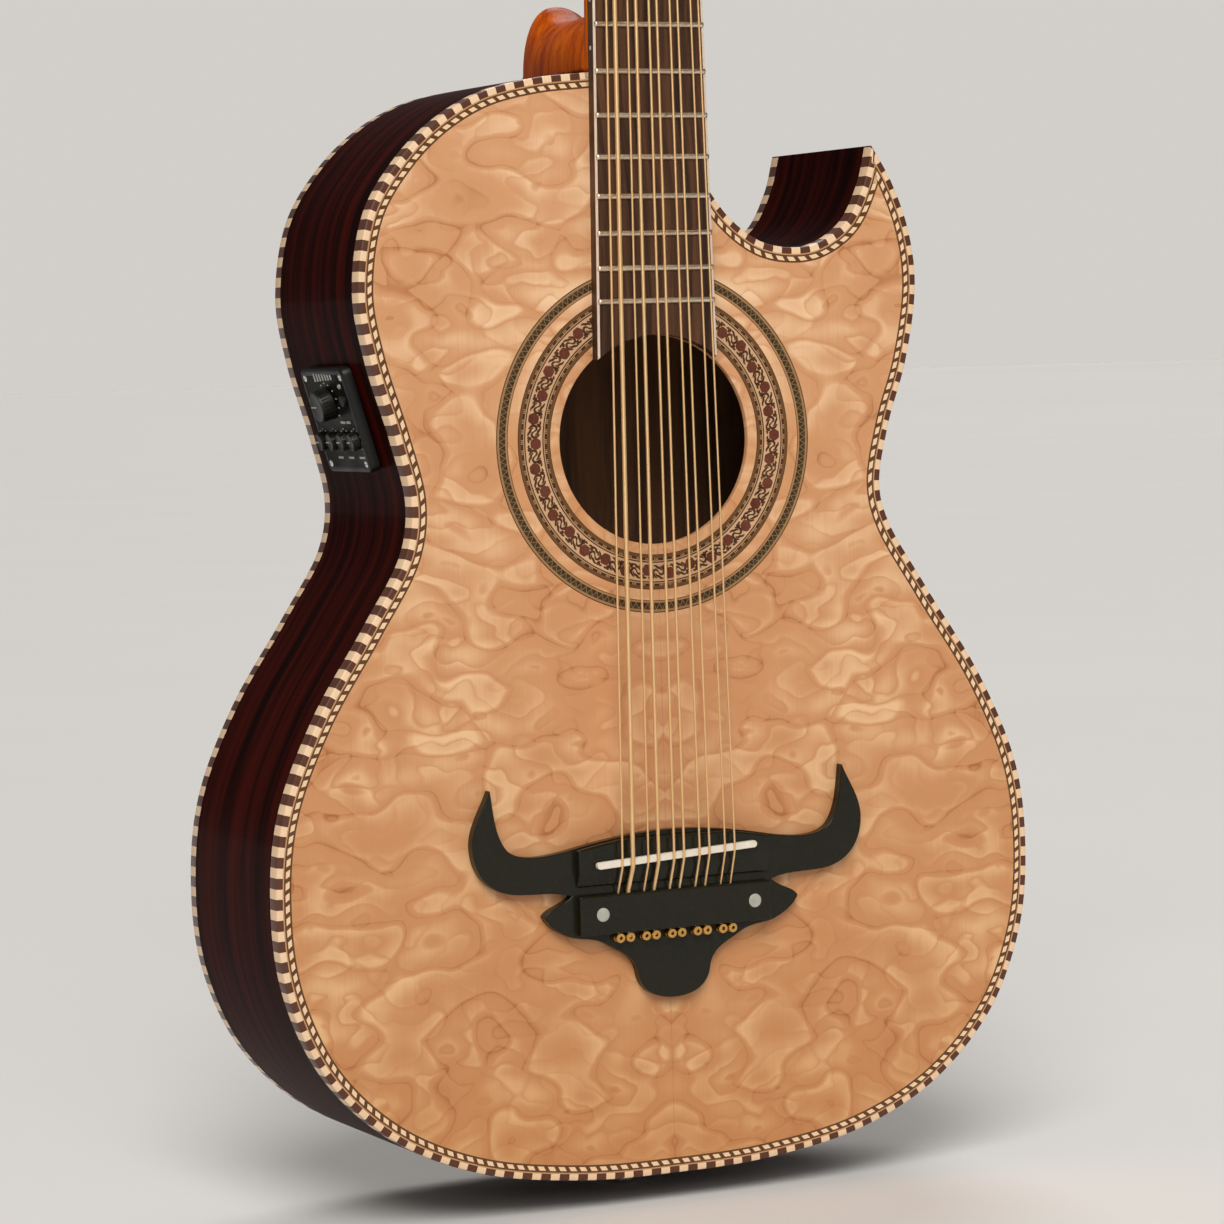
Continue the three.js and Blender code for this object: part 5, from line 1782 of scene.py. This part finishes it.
# ---- pickup panel -----------------------------------------------------------------------------
@dataclass
class PickupPanel:
    """The panel in the bass rib: plate, knobs, push button, light, screws and plain marks."""

    face: float = -5.7
    thickness: float = 4.5
    width: float = 47.5
    height: float = 46.0
    radius: float = 3.5
    housing: tuple = (30.0, 36.0, 36.0)
    volume: tuple = (7.0, 6.0, 0.0, 8.0)
    band_radius: float = 4.0
    band_height: float = 3.0
    band_level: float = -8.5
    bands: tuple = (("treble_knob", -17.6), ("middle_knob", -5.9), ("bass_knob", 5.8),
                    ("presence_knob", 17.5))
    button: tuple = (2.5, 1.4, -17.0, 9.0)

    def plate_piece(self) -> bpy.types.Object:
        """The plate with its bevelled rim and shallow inner step, and the box behind it."""
        rings = []
        for grow, x in ((-1.2, self.face + self.thickness), (0.0, self.face + self.thickness),
                        (0.0, self.face + 1.1), (-0.4, self.face + 0.35), (-1.1, self.face),
                        (-2.4, self.face), (-2.8, self.face + 0.3)):
            flat = rounded_rectangle(self.width + 2 * grow, self.height + 2 * grow,
                                     max(0.6, self.radius + grow))
            rings.append(np.array([(x, y, z) for y, z in flat]))
        plate = make("panel_plate", loft(rings), PLASTIC, PANEL, crease=50)
        deep, wide, high = self.housing
        box = make("panel_box", rounded_box((deep + 1.0, wide, high), ((deep - 1.5) / 2, 0, 0)),
                   PLASTIC, PANEL)
        return joined("preamp_plate", [plate, bevelled(box, 1.5, 2)])

    def knob(self, name: str, radius: float, height: float, y: float, z: float,
             ribs: int) -> bpy.types.Object:
        """A ribbed knob with a dished cap and a pale pointer."""
        at = PANEL.then(self.face, y, z, Matrix.Rotation(math.radians(-90), 4, "Y"))
        core = turned([(0, -2.0), (1.2, -2.0), (1.2, 0.3), (radius, 0.3), (radius, 0.9),
                       (radius * 0.93, height * 0.8), (radius * 0.9, height + 0.1),
                       (radius * 0.8, height + 0.3), (radius * 0.72, height + 0.12),
                       (0, height + 0.05)], 48)
        body = make(f"{name}_core", core, KNOB, at, crease=40)
        rib = sample("rib_one", rounded_box((0.5, 0.55, height * 0.72), (0, 0, 0)), KNOB, 0.12)
        places = []
        for k in range(ribs):
            t = math.tau * k / ribs
            turn = Matrix.Rotation(t, 4, "Z")
            places.append(Place(at.matrix @ turn @ Matrix.Translation(
                (radius * 0.95, 0, height * 0.52))))
        grip = Scatter(f"{name}_ribs", rib, KNOB).run(places)
        mark = make(f"{name}_mark", rounded_box((0.55, radius * 0.75, 0.24),
                                                (0, radius * 0.42, height + 0.22)), INK, at)
        return joined(f"{name}_ribbed", [body, grip, mark])

    def marks(self) -> bpy.types.Object:
        """Plain ink: a level scale, dashes under the knobs and ticks round them."""
        strokes: list[tuple[float, float, float, float]] = []
        for k in range(7):
            strokes.append((-9.5 + 3.0 * k, 19.3, 1.1, 2.2 + 0.25 * k))
        strokes += [(-8.2, -0.6, 4.6, 1.0), (-14.2, -0.6, 3.6, 1.0)]
        strokes += [(y, -16.2, 5.2, 0.9) for _, y in self.bands[:3]]
        for _, y in self.bands:
            strokes += [(y + 5.0 * math.cos(t), self.band_level + 5.0 * math.sin(t), 0.5, 0.5)
                        for t in (math.radians(a) for a in range(-50, 231, 35))]
        for angle in range(-40, 221, 26):
            t = math.radians(angle)
            strokes.append((8.7 * math.cos(t) + self.volume[2],
                            8.7 * math.sin(t) + self.volume[3], 0.6, 0.6))
        shapes = [([(self.face - 0.04 if s else self.face + 0.35, y + a * w / 2, z + b * h / 2)
                    for s in (0, 1) for a, b in ((-1, -1), (1, -1), (1, 1), (-1, 1))],
                   [(0, 1, 2, 3), (4, 5, 6, 7), (0, 1, 5, 4), (1, 2, 6, 5), (2, 3, 7, 6),
                    (3, 0, 4, 7)]) for y, z, w, h in strokes]
        return make("panel_marks", BodyBox.together(shapes), INK, PANEL)

    def build(self) -> None:
        """Makes and seats the panel's pieces."""
        seat(self.plate_piece(), stands_for=["preamp_panel"])
        floor = make("panel_floor", slab_x(rounded_rectangle(self.width - 5.4, self.height - 5.4,
                                                             1.2), self.face + 0.3,
                                           self.face + 0.9), PLASTIC, PANEL)
        seat(floor)
        radius, height, y, z = self.volume
        seat(self.knob("volume", radius, height, y, z, 28), "volume_knob",
             ["volume_knob"])
        for name, across in self.bands:
            seat(self.knob(name.split("_")[0], self.band_radius, self.band_height, across,
                           self.band_level, 18), name, [name])
        radius, proud, y, z = self.button
        at = PANEL.then(self.face, y, z, Matrix.Rotation(math.radians(-90), 4, "Y"))
        push = turned([(0, -0.9), (radius, -0.9), (radius, proud - 0.4), (radius - 0.3, proud),
                       (0, proud + 0.1)], 32)
        seat(make("tuner_push", push, KNOB, at), "tuner_button",
             ["tuner_button"])
        lens = turned([(0, -0.5), (1.1, -0.5), (1.1, 0.2), (0.8, 0.6), (0.3, 0.8), (0, 0.82)], 24)
        seat(make("panel_light", lens, LENS, PANEL.then(
            self.face, -16.6, 15.2, Matrix.Rotation(math.radians(-90), 4, "Y")), crease=60))
        places = [PANEL.then(self.face + 0.3, sy * 19.6, sz * 19.0,
                             Matrix.Rotation(math.radians(-90), 4, "Y"))
                  for sy in (-1, 1) for sz in (-1, 1)]
        seat(Scatter("panel_screws", screw_sample(1.6), NICKEL).run(places))
        seat(self.marks())


def slab_x(outline: Points, front: float, back: float) -> Shape:
    """A flat plate: an outline in Y and Z between two X levels."""
    return loft([np.array([(x, y, z) for y, z in outline]) for x in (front, back)])


@dataclass
class EndPin:
    """Strap button with the output socket, on the tail."""

    level: float = 53.75

    def build(self) -> None:
        """Makes and seats the pin."""
        profile = [(3.3, -12.0), (5.9, -12.0), (6.7, -11.7), (7.0, -11.2), (7.0, -9.2),
                   (6.6, -8.5), (5.2, -7.4), (4.6, -6.4), (4.6, -5.0), (5.2, -4.3), (7.6, -3.4),
                   (8.5, -2.8), (8.5, -0.6), (8.2, -0.3), (6.0, -0.3), (6.0, 34.0), (3.3, 34.0)]
        piece = make("end_pin_turned", turned(profile, 64), NICKEL, BODY.then(0, self.level, 0),
                     crease=50)
        seat(piece, stands_for=["end_pin_jack"])


# ---- studio -----------------------------------------------------------------------------------
@dataclass(frozen=True)
class Lamp:
    """One soft panel light."""

    name: str
    spot: tuple[float, float, float]
    aim: tuple[float, float, float]
    size: float
    power: float

    def build(self) -> None:
        """Adds the light."""
        data = bpy.data.lights.new(self.name, "AREA")
        data.shape = "RECTANGLE"
        data.size = self.size
        data.size_y = self.size
        data.energy = self.power
        hang(data, self.spot, self.aim)


@dataclass(frozen=True)
class Daylight:
    """A far, wide light that falls evenly on the floor."""

    name: str
    spot: tuple[float, float, float]
    width: float
    strength: float

    def build(self) -> None:
        """Adds the light."""
        data = bpy.data.lights.new(self.name, "SUN")
        data.angle = math.radians(self.width)
        data.energy = self.strength
        hang(data, self.spot, (0.0, 0.0, 0.0))


def hang(data: bpy.types.Light, spot: tuple, aim: tuple) -> None:
    """Puts a light at spot, turned to aim."""
    lamp = bpy.data.objects.new(data.name, data)
    lamp.location = spot
    way = Vector(aim) - Vector(spot)
    lamp.rotation_euler = way.to_track_quat("-Z", "Y").to_euler()
    bpy.context.scene.collection.objects.link(lamp)


@dataclass
class Studio:
    """Camera, pale floor, soft lights."""

    camera_at: tuple[float, float, float] = (-0.79265, -1.66997, 0.36530)
    right: tuple = (0.90159242, -0.43160193, -0.02917004)
    up: tuple = (0.05281751, 0.04290398, 0.99768209)
    forward: tuple = (0.42935, 0.9010433, -0.06147804)
    lens: float = 124.298
    floor_radius: float = 60.0
    backdrop: tuple = srgb(210, 207, 202)
    ambient: tuple = srgb(112, 110, 108)
    lights: tuple[Lamp | Daylight, ...] = (
        Daylight("daylight_front", (-1.2, -2.4, 2.6), 32.0, 2.1),
        Daylight("daylight_back", (1.4, 2.2, 2.6), 32.0, 0.9),
        Lamp("soft_front", (-0.9, -3.0, 1.6), (0, 0, 0.35), 1.6, 24.0))

    def camera(self) -> None:
        """Sets the scene's camera."""
        data = bpy.data.cameras.new("camera")
        data.sensor_width = 36.0
        data.lens = self.lens
        data.clip_end = 200.0
        camera = bpy.data.objects.new("camera", data)
        columns = (self.right, self.up, tuple(-c for c in self.forward), self.camera_at)
        camera.matrix_world = Matrix([[c[k] for c in columns] for k in range(3)] + [[0, 0, 0, 1]])
        bpy.context.scene.collection.objects.link(camera)
        bpy.context.scene.camera = camera

    def surroundings(self) -> None:
        """An even backdrop, and a dimmer ambient light on the object."""
        world = bpy.data.worlds.new("studio")
        world.use_nodes = True
        kit = Kit(world.node_tree)
        seen = kit.node("ShaderNodeLightPath").outputs["Is Camera Ray"]
        surface = world.node_tree.nodes["Background"]
        use(kit, surface, "Color", kit.mix(seen, self.ambient, self.backdrop))
        bpy.context.scene.world = world

    def build(self) -> None:
        """Adds the camera, floor, lights and surroundings."""
        self.camera()
        self.surroundings()
        for light in self.lights:
            light.build()
        reach = self.floor_radius / MM
        under = -ROW_SHIFT[2] - 0.5
        steps = np.arange(64) * math.tau / 64
        rings = [np.stack([r * reach * np.cos(steps), r * reach * np.sin(steps),
                           np.full(64, under)], 1) for r in (0.02, 1.0)]
        shape = loft(rings, caps=False)
        floor = make("floor", (shape[0], shape[1] + [tuple(range(64))]), FLOOR)
        floor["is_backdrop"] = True
        bpy.context.scene.view_settings.view_transform = "Standard"


# ---- main -------------------------------------------------------------------------------------
def corners(box: Iterable[Iterable[float]]) -> list[list[float]]:
    """A box as plain lists."""
    return [[float(c) for c in corner] for corner in box]


def main() -> None:
    """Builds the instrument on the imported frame."""
    logging.basicConfig(level=logging.INFO, format="%(name)s %(message)s")
    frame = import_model()
    cad_box = corners(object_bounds())
    Studio().build()
    Interior().dress(frame)
    BodyBox(Outline()).build()
    Bridge().build()
    Neck().build()
    Strings().build()
    Tuners().build()
    PickupPanel().build()
    EndPin().build()
    {"cad": cad_box, "visual": corners(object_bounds())}


if __name__ == "__main__":
    main()
